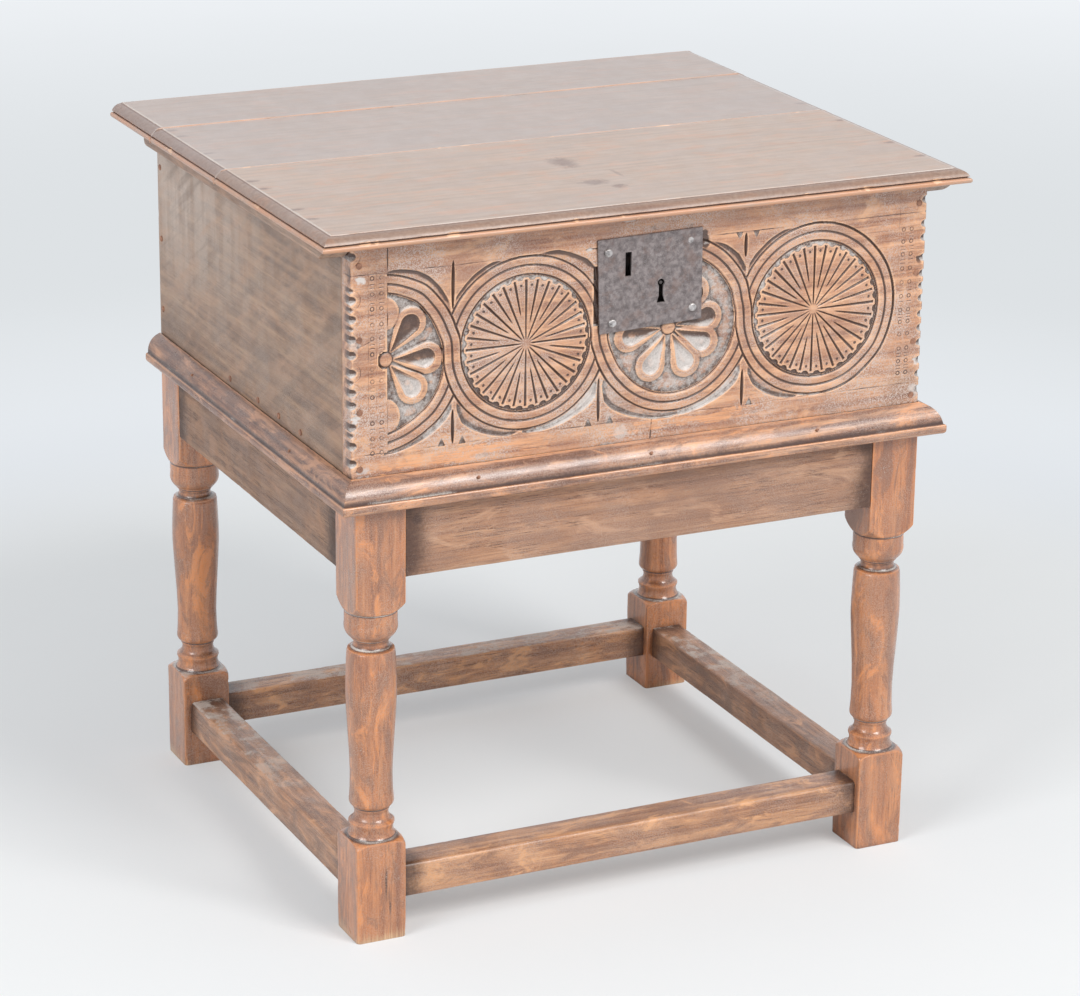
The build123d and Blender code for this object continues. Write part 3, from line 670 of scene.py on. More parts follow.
@cache
def knocks() -> bpy.types.NodeTree:
    """Writes the marks that use leaves on any surface.

    Returns:
        The group: scratches, dents and specks of dirt.
    """
    s, give, (place,) = start_group("knocks", "Place", gives="Scratches, Dents, Specks")
    lines = []
    for n, (turn, reach) in enumerate(((0.5, 0.011), (-0.8, 0.017), (1.35, 0.014))):
        around = {"Vector": place, "Angle": turn, "Axis": (0.35, 0.4, 0.85)}
        turned = s.add("VectorRotate", around).outputs[0]
        long = s.noise(s.scale(turned, (reach, 0.42, 0.42), (n * 7, 3, n)), 1.0, 2.0, 0.4)
        lines.append(s.band(s.math("ABSOLUTE", s.math("SUBTRACT", long, 0.62)), 0.0, 0.006, 1.0, 0.0))
    crossed = reduce(lambda a, b: s.math("MAXIMUM", a, b), lines)
    give("Scratches", s.times(crossed, s.band(s.noise(place, 0.021, 2.0), 0.52, 0.68)))
    give("Dents", s.band(s.cells(place, 0.085), 0.0, 0.3, 1.0, 0.0))
    dots = s.band(s.cells(place, 0.21), 0.05, 0.17, 1.0, 0.0)
    give("Specks", s.times(dots, s.band(s.cells(place, 0.21, "Color"), 0.55, 0.62)))
    return s.tree


@cache
def grain_colour() -> bpy.types.NodeTree:
    """Writes how the figure of oak shows as colour.

    Returns:
        The group: the colour of the rings, with streaks, ray flecks and pores.
    """
    s, give, (dark, middle, light, grime, growth, fibre, rays, pores, half, streaks, porous) = start_group(
        "grain colour", "", "Dark, Middle, Light, Grime",
        "Growth, Fibre, Rays, Pores, Rings Half, Streaks, Porous", "Colour")
    growth = s.band(growth, s.math("SUBTRACT", 0.5, half), s.plus(half, 0.5))
    shade = s.mix(s.band(growth, 0.0, 0.5), dark, middle)
    shade = s.mix(s.band(growth, 0.45, 1.0), shade, light)
    shade = s.mix(s.band(fibre, 0.35, 0.62, streaks, 0.0), shade, dark)
    shade = s.mix(s.times(rays, 0.22), shade, light)
    give("Colour", s.mix(s.times(pores, porous), shade, grime))
    return s.tree


@cache
def stains() -> bpy.types.NodeTree:
    """Writes the large dark clouds and the long rubbed patches of old polish.

    Returns:
        The group: the colour with its stains and rubs.
    """
    s, give, (run, shade, stain, rubbed, cloud, mottle, stained, rubs, mottled) = start_group(
        "stains", "Run", "Colour, Stain, Rubbed", "Cloud, Mottle, Stained, Rubs, Mottled",
        "Colour")
    shade = s.mix(s.band(cloud, 0.42, 0.66, 0.0, stained), shade, stain)
    long = s.noise(s.scale(run, (0.011, 0.075, 0.075)), 1.0, 6.0, 0.66)
    shade = s.mix(s.band(long, 0.5, 0.66, 0.0, rubs), shade, rubbed)
    shade = s.mix(s.band(mottle, 0.5, 0.62, 0.0, mottled), shade, stain)
    give("Colour", s.mix(s.band(mottle, 0.36, 0.48, mottled, 0.0), shade, rubbed))
    return s.tree


@cache
def blot() -> bpy.types.NodeTree:
    """Writes one ragged blot of dirt.

    Returns:
        The group: the colour with the blot.
    """
    s, give, (place, middle, shrink, shade, grime, ragged, torn, amount) = start_group(
        "blot", "Place, Middle, Shrink", "Colour, Grime", "Ragged, Torn, Amount", "Colour")
    offset = s.add("VectorMath", {0: place, 1: middle}, operation="SUBTRACT").outputs[0]
    reach = s.add("VectorMath", {0: offset, 1: shrink}, operation="MULTIPLY").outputs[0]
    rim = s.plus(s.length(reach), s.times(ragged, torn))
    give("Colour", s.mix(s.band(rim, 0.3, 1.0, amount, 0.0), shade, grime))
    return s.tree


@cache
def edge_wear() -> bpy.types.NodeTree:
    """Writes the rubbed arrises, broken up by the fibre.

    Returns:
        The group: the colour with the arrises rubbed.
    """
    s, give, (shade, rubbed, wear, fibre) = start_group(
        "edge wear", "", "Colour, Rubbed", "Wear, Fibre", "Colour")
    worn = s.plus(wear, s.about(fibre, 1.1))
    give("Colour", s.mix(s.band(worn, 0.2, 0.95, 0.0, 0.8), shade, rubbed))
    return s.tree


@cache
def bloom() -> bpy.types.NodeTree:
    """Writes a painted sheen: a pale speckled veil in patches that stands in for light glinting on the
    polish.

    Returns:
        The group: the colour with the painted sheen, and the fine speckle that it is made of.
    """
    s, give, (place, shade, haze, hazy) = start_group(
        "bloom", "Place", "Colour, Haze", "Hazy", "Colour, Speckle")
    speckle = s.noise(place, 0.9, 4.0, 0.7)
    where = s.band(s.noise(place, 0.018, 4.0, 0.6), 0.38, 0.62, 0.25, hazy)
    # painted sheen: the fine speckle is mixed towards the pale sheen colour in patches
    give("Colour", s.mix(s.times(s.band(speckle, 0.42, 0.6), where), shade, haze))
    give("Speckle", speckle)
    return s.tree


@cache
def dirt() -> bpy.types.NodeTree:
    """Writes the dirt in hollows, painted shade in crevices and joints from ambient occlusion, the specks,
    the scratches and the bare wood.

    Returns:
        The group: the colour with all of them.
    """
    s, give, sockets = start_group(
        "dirt", "Place", "Colour, Grime, Dust, Raw",
        "Grimed, Open, Specks, Scratches, Bare, Fibre, Specked, Scratched", "Colour")
    place, shade, dirty, pale, raw, grime, occlusion_shade, specks, scratches, bare, fibre, speck, scratch = sockets
    # painted shade: where the occlusion input is low, more of the dirt colour is mixed in, darkening
    # crevices and joints
    caked = s.plus(grime, s.times(s.noise(place, 0.3, 3.0), 0.35), s.band(occlusion_shade, 0.15, 0.85, 0.8, 0.0))
    shade = s.mix(s.band(caked, 0.25, 0.95, 0.0, 0.9), shade, dirty)
    shade = s.mix(s.times(specks, speck), shade, dirty)
    shade = s.mix(s.times(scratches, scratch), shade, pale)
    give("Colour", s.mix(s.band(s.plus(bare, s.about(fibre, 0.6)), 0.3, 0.6), shade, raw))
    return s.tree


@cache
def settled_dust() -> bpy.types.NodeTree:
    """Writes where dust settles: on upward faces, in patches, and most towards the back.

    Returns:
        The group: how much dust has settled.
    """
    s, give, (place, normal, amount) = start_group(
        "settled dust", "Place, Normal", "", "Settling", "Settled")
    level = s.band(s.split(normal)[2], 0.5, 0.95)
    lying = s.times(level, s.band(s.noise(place, 0.03, 5.0, 0.7), 0.36, 0.6))
    give("Settled", s.times(s.times(lying, s.band(s.split(place)[1], -240.0, 210.0, 0.2, 1.0)), amount))
    return s.tree


@cache
def dust() -> bpy.types.NodeTree:
    """Writes dust, grainy at its edges.

    Returns:
        The group: the colour with the dust, and how thick the dust lies.
    """
    s, give, (place, shade, pale, dusted, settled, amount) = start_group(
        "dust", "Place", "Colour, Dust", "Dusted, Settled, Dusty", "Colour, Powder")
    loose = s.plus(dusted, s.about(s.noise(place, 0.8, 4.0, 0.65), 0.7), settled)
    powder = s.band(loose, 0.22, 0.85, 0.0, amount)
    give("Colour", s.mix(powder, shade, pale))
    give("Powder", powder)
    return s.tree


@cache
def polish() -> bpy.types.NodeTree:
    """Writes the sheen and the fine relief of polished oak.

    Returns:
        The group: the roughness, and the height for the bump.
    """
    s, give, (place, fibre, pores, scratches, dents, speckle, powder, smooth, dull) = start_group(
        "polish", "Place", "", "Fibre, Pores, Scratches, Dents, Speckle, Powder, Smooth, Dull",
        "Roughness, Height")
    rough = s.band(s.noise(place, 0.045, 5.0, 0.6), 0.3, 0.7, smooth, dull)
    rough = s.plus(rough, s.times(pores, 0.15), s.times(powder, 0.4))
    give("Roughness", s.math("ADD", rough, s.times(scratches, 0.12), clamp=True))
    height = s.times(fibre, 0.16)
    for cut, depth in ((pores, 0.12), (scratches, 0.09), (dents, 0.1)):
        height = s.math("SUBTRACT", height, s.times(cut, depth))
    swell = s.times(s.noise(place, 0.05, 2.0), 0.5)
    give("Height", s.plus(height, swell, s.times(speckle, 0.2), s.times(powder, 0.08)))
    return s.tree


@cache
def forged_skin() -> bpy.types.NodeTree:
    """Writes the mottled, rusted and scratched skin of forged iron.

    Returns:
        The group: the colour, the roughness, and the height for the bump.
    """
    s, give, (place, dark, light, red, bright, scratches, dents, rusty, smooth, dull) = start_group(
        "forged skin", "Place", "Dark, Light, Rust, Bright", "Scratches, Dents, Rusty, Smooth, Dull",
        "Colour, Roughness, Height")
    mottle, fine = s.noise(place, 0.15, 7.0, 0.7, 0.2), s.noise(place, 0.9, 5.0, 0.7)
    shade = s.mix(s.band(mottle, 0.36, 0.66), dark, light)
    shade = s.mix(s.band(fine, 0.4, 0.7, 0.0, 0.35), shade, light)
    rust = s.times(s.band(s.noise(place, 0.06, 6.0, 0.7), 0.5, 0.62), rusty)
    give("Colour", s.mix(s.times(scratches, 0.5), s.mix(rust, shade, red), bright))
    give("Roughness", s.math("ADD", s.band(mottle, 0.3, 0.7, smooth, dull), s.times(rust, 0.3), clamp=True))
    height = s.plus(s.times(mottle, 0.3), s.times(fine, 0.25))
    give("Height", s.math("SUBTRACT", height, s.times(dents, 0.08)))
    return s.tree


# ---- finishes ----
@dataclass(frozen=True)
class Blot:
    """A dark blot on one piece: its middle, its reach each way, how torn and how dark it is."""

    middle: tuple[float, float, float]
    reach: tuple[float, float, float]
    torn: float
    amount: float

    @property
    def shrink(self) -> tuple[float, ...]:
        """What each direction is multiplied by, so that the reach becomes 1."""
        return tuple(1 / r for r in self.reach)


@dataclass(frozen=True)
class Oak:
    """Old oak: colours as they look in plain light, its polish, and how it has aged."""

    name: str
    grain: Grain
    dark: Colour
    middle: Colour
    light: Colour
    stain: Colour
    rubbed: Colour
    grime: Colour
    dust: Colour = (214, 205, 196)
    raw: Colour = (224, 178, 140)
    # pale colour of the painted reflection on the upper back of a board
    upper_reflection_colour: Colour = (206, 188, 174)
    cool_colour: Colour = (164, 152, 148)
    # pale colour of the painted sheen, a speckled veil standing in for glints on the polish
    haze: Colour = (192, 168, 154)
    stained: float = 0.6
    porous: float = 0.6
    rubs: float = 0.35
    specked: float = 0.4
    scratched: float = 0.4
    dusty: float = 0.92
    mottled: float = 0.3
    smooth: float = 0.42
    dull: float = 0.62
    coat: float = 0.0
    coat_roughness: float = 0.25
    upper_reflection: float = 0.0
    streaks: float = 0.3
    settling: float = 0.0
    cool: float = 0.0
    cool_joint: tuple[float, float] = (-13.0, -12.0)
    blots: tuple[Blot, ...] = ()
    hazy: float = 0.0
    relief: float = 1.0
    rings_half: float = 0.28
    occlusion_shade_reach: float = 12.0

    def paint_upper_reflection(self, s: Sheet, have: dict[str, Socket]) -> None:
        """Paints a pale veil on the upper back part of a board, a painted reflection, and gives it slanting
        plane marks.

        Args:
            s: Sheet to write in.
            have: Sockets by name; its Colour is replaced.
        """
        place, shade, axes = have["Place"], have["Colour"], s.split(have["Place"])
        # painted reflection: the upper back of the board is mixed towards a pale colour, standing in for
        # reflected light
        far = s.times(s.band(axes[1], -180.0, 230.0), s.band(axes[2], 470.0, 640.0))
        streak = s.band(s.noise(s.scale(place, (0.05, 0.05, 0.008)), 1.0, 4.0), 0.35, 0.6, 0.5, 1.0)
        shade = s.mix(s.times(s.times(far, streak), self.upper_reflection), shade, self.upper_reflection_colour)
        slant = s.add("VectorRotate", {"Vector": place, "Angle": 0.55, "Axis": (1.0, 0.0, 0.0)}).outputs[0]
        planed = s.noise(s.scale(slant, (0.05, 0.007, 0.06)), 1.0, 4.0, 0.6)
        shade = s.mix(s.band(planed, 0.46, 0.66, 0.0, 0.35), shade, self.rubbed)
        have["Colour"] = s.mix(s.band(planed, 0.3, 0.48, 0.5, 0.0), shade, self.stain)

    def dress(self) -> bpy.types.Material:
        """Makes the material.

        Returns:
            The material, its colour, roughness and bump all drawn by nodes.
        """
        material, s, shader = start_material(self.name)
        place = s.millimetres()
        axes = s.split(place)
        run = s.add("CombineXYZ", {k: axes[axis] for k, axis in enumerate(self.grain.value)}).outputs[0]
        have = {"Place": place, "Run": run, "Settled": 0.0}
        s.apply((oak_figure, knocks, grain_colour, stains), self, have)
        if self.upper_reflection:
            self.paint_upper_reflection(s, have)
        if self.blots:
            have |= {"Ragged": s.math("SUBTRACT", s.noise(place, 0.14, 5.0, 0.75), 0.5), "Grime": self.grime}
        for spot in self.blots:
            s.apply((blot,), spot, have)
        if self.cool:
            beyond = s.times(s.band(axes[1], *self.cool_joint), self.cool)
            have["Colour"] = s.mix(beyond, have["Colour"], self.cool_colour)
        have |= {socket: s.mark(mark) for socket, mark in MARKS.items()}
        # painted shade: ambient occlusion, fed to the dirt group, darkens crevices, joints and hollows
        occlusion_shade_node = s.add("AmbientOcclusion", {"Distance": self.occlusion_shade_reach * MM}, samples=6)
        have |= {"Open": occlusion_shade_node.outputs["AO"], "Normal": s.add("NewGeometry").outputs["Normal"]}
        settled = (settled_dust,) if self.settling else ()
        s.apply((edge_wear, bloom, dirt, *settled, dust, polish), self, have)
        s.cover(shader, have, 1.0, self.relief)
        s.fill(shader, {"Coat Weight": self.coat, "Coat Roughness": self.coat_roughness})
        return material


@dataclass(frozen=True)
class Iron:
    """Forged iron with a mottled, rubbed skin."""

    name: str
    dark: Colour
    light: Colour
    rust: Colour
    bright: Colour = (208, 204, 204)
    rusty: float = 0.3
    metallic: float = 0.55
    smooth: float = 0.35
    dull: float = 0.6
    bump: float = 0.7

    def dress(self) -> bpy.types.Material:
        """Makes the material.

        Returns:
            The material, its colour, roughness and bump all drawn by nodes.
        """
        material, s, shader = start_material(self.name)
        have = {"Place": s.millimetres()}
        s.apply((knocks, forged_skin), self, have)
        s.cover(shader, have, self.bump, 1.0)
        s.fill(shader, {"Metallic": self.metallic})
        return material


LID_NAILS = {
    -320.0: (-214.6, -178.3, -95.5, -64.6, 25.4, 53.7, 129.2, 155.5),
    320.0: (-220.4, -161.6, -60.6, 21.3),
}
LID_BLOTS = (
    Blot((-16, -112, 706), (17, 28, 6), 1.8, 0.75), Blot((-22, -192, 706), (20, 13, 6), 1.8, 0.75),
    Blot((-6, -214, 706), (10, 9, 6), 1.8, 0.75), Blot((14, -168, 706), (3, 22, 6), 1.4, 0.5),
    Blot((-12, -286, 702), (38, 5, 8), 1.0, 0.6),
    *(Blot((x, y, 706), (12, 5, 6), 1.6, 0.8) for x, row in LID_NAILS.items() for y in row),
)
CARVED_BLOTS = (
    Blot((284, -264, 484), (30, 12, 30), 1.0, 0.4), Blot((-272, -264, 655), (26, 12, 30), 1.2, 0.25),
)
RAIL_BLOTS = (Blot((-238, -270, 424), (7.5, 8, 7.5), 0.6, 0.85),)
LEG_BLOTS = (
    Blot((-270, -271, 60), (1.5, 8, 24), 0.7, 0.95), Blot((-266, -271, 33), (1.2, 8, 11), 0.7, 0.9),
)


class Finish(Enum):
    """Finishes of this box and its stand, each made once."""

    LID = Oak(
        "lid oak", Grain.X, dark=(162, 136, 116), middle=(180, 153, 132), light=(187, 159, 137),
        stain=(166, 144, 130), rubbed=(206, 138, 90), grime=(102, 62, 40), mottled=0.35, cool=0.5,
        streaks=0.12, rings_half=0.4, smooth=0.4, dull=0.58, coat=1.0, coat_roughness=0.36,
        porous=0.2, blots=LID_BLOTS, rubs=0.2, stained=0.5, specked=0.35,
        scratched=0.35, relief=0.5,
    )
    LID_SIDEWAYS = Oak(
        "cleat oak", Grain.Y, dark=(118, 94, 80), middle=(158, 132, 114), light=(186, 160, 140),
        stain=(128, 104, 92), rubbed=(204, 160, 130), grime=(88, 68, 58), smooth=0.42, dull=0.6,
    )
    CARVED = Oak(
        "carved oak", Grain.X, dark=(142, 88, 58), middle=(188, 130, 92), light=(218, 160, 119),
        stain=(156, 116, 96), rubbed=(248, 194, 148), grime=(62, 40, 31), dust=(212, 204, 198),
        raw=(232, 166, 116), haze=(202, 182, 170), mottled=0.45, smooth=0.36, dull=0.54, coat=0.45,
        blots=CARVED_BLOTS, streaks=0.15, hazy=1.0, porous=0.35, rubs=0.35, stained=0.45,
        specked=0.6, relief=0.6,
    )
    SIDE = Oak(
        "side oak", Grain.Y, dark=(106, 74, 52), middle=(146, 108, 78), light=(172, 134, 100),
        stain=(112, 84, 64), rubbed=(184, 140, 108), grime=(76, 54, 42), haze=(166, 146, 130), hazy=0.7,
        mottled=0.35, smooth=0.4, dull=0.58, rubs=0.3, stained=0.5, scratched=0.6,
        # upper_reflection paints a pale reflection on the upper back of each side
        coat=0.4, coat_roughness=0.35, upper_reflection=0.8,
    )
    BACK = Oak(
        "back oak", Grain.X, dark=(126, 100, 84), middle=(160, 134, 116), light=(188, 162, 142),
        stain=(138, 120, 108), rubbed=(190, 156, 130), grime=(92, 72, 60), smooth=0.55, dull=0.75,
    )
    INSIDE = Oak(
        "inside oak", Grain.X, dark=(150, 120, 94), middle=(184, 154, 124), light=(206, 178, 146),
        stain=(164, 140, 118), rubbed=(200, 170, 136), grime=(104, 82, 64), smooth=0.65, dull=0.85,
    )
    MOULDING = Oak(
        "moulding oak", Grain.X, dark=(104, 66, 48), middle=(178, 128, 98), light=(228, 174, 134),
        stain=(104, 70, 56), rubbed=(238, 166, 112), grime=(62, 36, 28), hazy=0.5, mottled=0.7,
        smooth=0.22, dull=0.4, coat=0.6, rubs=0.3, stained=0.7, relief=0.6,
    )
    MOULDING_SIDE = Oak(
        "side moulding oak", Grain.Y, dark=(92, 58, 42), middle=(146, 100, 74), light=(186, 134, 100),
        stain=(92, 62, 50), rubbed=(214, 156, 116), grime=(62, 38, 30), mottled=0.6, smooth=0.25,
        dull=0.42, coat=0.5, rubs=0.3, stained=0.7, relief=0.6,
    )
    RAIL = Oak(
        "rail oak", Grain.X, dark=(132, 90, 66), middle=(174, 124, 90), light=(196, 146, 108),
        stain=(138, 104, 86), rubbed=(210, 164, 130), grime=(70, 44, 33), hazy=0.5, mottled=0.5,
        rings_half=0.311111, blots=RAIL_BLOTS, smooth=0.38, dull=0.56, porous=0.85,
    )
    RAIL_SIDE = Oak(
        "side rail oak", Grain.Y, dark=(104, 74, 54), middle=(140, 104, 78), light=(160, 124, 96),
        stain=(120, 94, 80), rubbed=(182, 136, 104), grime=(64, 44, 34), haze=(168, 146, 132), hazy=0.4,
        mottled=0.4, smooth=0.42, dull=0.6, porous=0.95,
    )
    STRETCHER = Oak(
        "stretcher oak", Grain.X, dark=(134, 84, 54), middle=(186, 130, 88), light=(214, 160, 116),
        stain=(132, 92, 70), rubbed=(226, 166, 114), grime=(60, 36, 26), haze=(200, 176, 162), hazy=0.5,
        mottled=0.8, rings_half=0.311111, porous=0.8, rubs=0.4, settling=0.6,
        smooth=0.32, dull=0.5, coat=0.4,
    )
    STRETCHER_SIDE = Oak(
        "side stretcher oak", Grain.Y, dark=(114, 74, 50), middle=(164, 112, 76), light=(190, 138, 98),
        stain=(116, 82, 62), rubbed=(212, 152, 104), grime=(58, 36, 26), hazy=0.5, mottled=0.8,
        rings_half=0.311111, porous=0.8, rubs=0.4, settling=0.75, smooth=0.32, dull=0.5,
        coat=0.4,
    )
    LEG = Oak(
        "leg oak", Grain.Z, dark=(144, 84, 50), middle=(190, 118, 70), light=(210, 140, 90),
        stain=(138, 92, 68), rubbed=(224, 142, 80), grime=(60, 32, 22), raw=(208, 172, 134),
        haze=(194, 158, 134), mottled=0.85, rings_half=0.35, hazy=0.5, streaks=0.2, smooth=0.26,
        dull=0.42, coat=0.9, coat_roughness=0.14, settling=0.55, blots=LEG_BLOTS, porous=0.5,
        rubs=0.3, scratched=0.9,
    )
    PLATE = Iron(
        "plate iron", dark=(98, 89, 88), light=(150, 140, 138), rust=(134, 108, 98), rusty=0.4,
        metallic=0.35, smooth=0.4, dull=0.62,
    )
    LOCKWORK = Iron(
        "lock iron", dark=(66, 60, 58), light=(104, 98, 96), rust=(112, 80, 62), rusty=0.5,
        metallic=0.5,
    )
    NAIL = Iron(
        "nail iron", dark=(92, 86, 86), light=(176, 170, 168), rust=(116, 86, 70), rusty=0.3,
        metallic=0.5, smooth=0.3, dull=0.5,
    )
    SUNK_NAIL = Iron(
        "sunk nail iron", dark=(120, 84, 66), light=(176, 128, 102), rust=(150, 100, 72), rusty=0.7,
        metallic=0.1, smooth=0.5, dull=0.7,
    )
    # the nail heads' light colour is near white, partly bright worn iron and partly a painted highlight
    PLATE_NAIL = Iron(
        "plate nail iron", dark=(104, 98, 96), light=(206, 201, 199), rust=(150, 128, 112),
        rusty=0.2, metallic=0.6, smooth=0.25, dull=0.42,
    )

    @property
    def material(self) -> bpy.types.Material:
        """The finish's material, made when it is first asked for."""
        return made_material(self)


@cache
def made_material(finish: Finish) -> bpy.types.Material:
    """Makes the material of a finish once."""
    return finish.value.dress()


# ---- the stand ----
@dataclass
class TurnedLeg:
    """A leg: square at the foot and under the rim, turned between."""

    name: str
    x: float
    y: float
    size: float = 51.0
    height: float = 452.0
    arris: float = 0.8
    points_round: int = 120
    corner_radius: float = 36.06
    lower_turning: tuple[float, float] = (92.0, 142.0)
    upper_turning: tuple[float, float] = (290.0, 347.0)
    turned: tuple[float, float] = (98.0, 338.0)
    shoulders: tuple[tuple[float, float], ...] = ((92.0, 103.0), (331.0, 346.0))
    widest_turning: float = 30.0
    coarse_step: float = 4.0
    fine_step: float = 0.8

    def envelope(self) -> Array:
        """Draws the half-profile of the turning.

        Returns:
            Rows of height and radius, foot to top.
        """
        radius_first = [
            arc((self.corner_radius, 94), (25.4, 102), -2.6), [(24, 102), (24, 103)],
            arc((24, 103), (22.3, 116), 2.2), [(22.3, 118), (21.8, 118)],
            arc((21.8, 118), (16.8, 130), 2.4), [(17.5, 130.2), (17.5, 133)],
            arc((17.5, 133), (21.7, 140), -1.6), [(20.9, 150), (20.5, 168), (21.3, 190), (23.2, 220),
            (24.6, 246), (24.5, 262), (23.9, 278), (23.2, 292), (22.6, 292.2), (22.6, 294)],
            arc((22.6, 294), (16.7, 302), 2.4), [(17.5, 302.2), (17.5, 305), (19.5, 305.2), (19.5, 306)],
            arc((19.5, 306), (25.4, 321), -2.6), [(25.4, 333)],
            arc((25.4, 333), (self.corner_radius, 345), -1.0),
        ]
        rows = np.concatenate([np.array(part, float) for part in radius_first])
        rows = rows[:, ::-1].copy()
        for n in range(1, len(rows)):
            rows[n, 0] = max(rows[n, 0], rows[n - 1, 0] + 0.02)
        return rows

    def stations(self) -> Array:
        """Spaces the rings out, close together where the leg has beads and coves.

        Returns:
            Heights of the rings.
        """
        (low, waist), (neck, top) = self.lower_turning, self.upper_turning
        return np.concatenate((
            np.arange(0, low, self.coarse_step), np.arange(low, waist, self.fine_step),
            np.arange(waist, neck, 3.0), np.arange(neck, top, self.fine_step),
            np.arange(top, self.height, self.coarse_step), [self.height],
        ))

    def square_reach(self, across: Array, aside: Array, corner: Array) -> Array:
        """Distance from the middle to a square with worn corners.

        Args:
            across: Larger part of each direction.
            aside: Smaller part of each direction.
            corner: Radius of the corner at each point.

        Returns:
            The distance at each point.
        """
        half = self.size / 2
        inner = half - corner
        bend = inner * (across + aside)
        bent = bend + np.sqrt(np.maximum(bend**2 - 2 * inner**2 + corner**2, 0))
        return np.where(half * aside / across < inner, half / across[None], bent)

    def shell(self) -> Shell:
        """Makes the leg's mesh, worn on its arrises and beads.

        Returns:
            The mesh in the making.
        """
        rows, heights = self.envelope(), self.stations()
        radius = np.interp(heights, rows[:, 0], rows[:, 1], left=60.0, right=60.0)
        angle = np.linspace(0, 2 * math.pi, self.points_round, endpoint=False) + math.pi / 4
        aside, across = np.sort(np.abs(np.stack((np.cos(angle), np.sin(angle)))), axis=0)
        middle = np.array((self.x, self.y, 0.0))
        around = np.stack((np.cos(angle), np.sin(angle), 0 * angle), 1)
        rise = heights[:, None, None] * np.array((0, 0, 1.0))
        rough_at = middle + 25.0 * around[None] + rise
        rub = 0.5 + 0.5 * NOISE.rough(rough_at, (60, 60, 24), 3)
        nibble = np.clip(NOISE.rough(rough_at + 50, (40, 40, 6), 2) * 1.6 - 0.45, 0, 1)
        ends = 1.0 + 1.2 * ease(-heights, -18, 0)[:, None]
        square = self.square_reach(across, aside, self.arris + (0.5 + 1.4 * rub + 3.2 * nibble) * ends)
        turned = np.broadcast_to(radius[:, None], square.shape)
        slim = np.minimum(radius, self.widest_turning)
        softened = np.convolve(np.pad(slim, 3, "edge"), np.ones(7) / 7, "valid")
        bulge = np.clip((slim - softened) / 0.9, -1, 1)[:, None]
        reach = np.minimum(square, turned)
        reach = reach - (turned < square) * (turned < 40) * (0.12 + 0.28 * rub) * np.clip(bulge, 0, 1)
        reach = reach + 0.12 * NOISE.rough(rough_at + 200, (30, 30, 30), 2)
        points = middle + reach[..., None] * around[None] + rise
        points[0, :, 2], points[-1, :, 2] = 0.0, self.height
        turning = ((heights > self.turned[0]) & (heights < self.turned[1]))[:, None]
        outer = np.broadcast_to(aside / across, square.shape)
        corners = np.where(square < turned, ease(outer, 0.86, 0.97), 0.0)
        (low, lower), (upper, high) = self.shoulders
        edge = ((heights > low) & (heights < lower) | (heights > upper) & (heights < high))[:, None]
        shoulder = edge * ease(-np.abs(square - turned), -1.6, 0.0)
        wear = np.maximum(corners * (0.45 + 0.6 * rub), shoulder * 0.8)
        wear = np.maximum(wear, turning * np.clip(bulge, 0, 1) * (0.4 + 0.5 * rub))
        cove = turning * np.clip(-bulge * 1.2, 0, 1) * np.ones_like(square)
        foot = ease(-heights, -40, 6)[:, None] * (0.05 + 0.65 * rub)
        faces = tube_faces(len(heights), len(angle)).tolist() + tube_caps(len(heights), len(angle))
        return Shell(
            points.reshape(-1, 3), faces, wear=wear.ravel(), grime=cove.ravel(),
            dust=(cove**3 * np.clip(1.5 * rub - 0.25, 0, 1)).ravel(), bare=foot.ravel(),
        )

    def build(self) -> None:
        """Builds the leg."""
        self.shell().build(f"{self.name}_turned", Body.STAND, "stand_oak", Finish.LEG.material, [self.name])


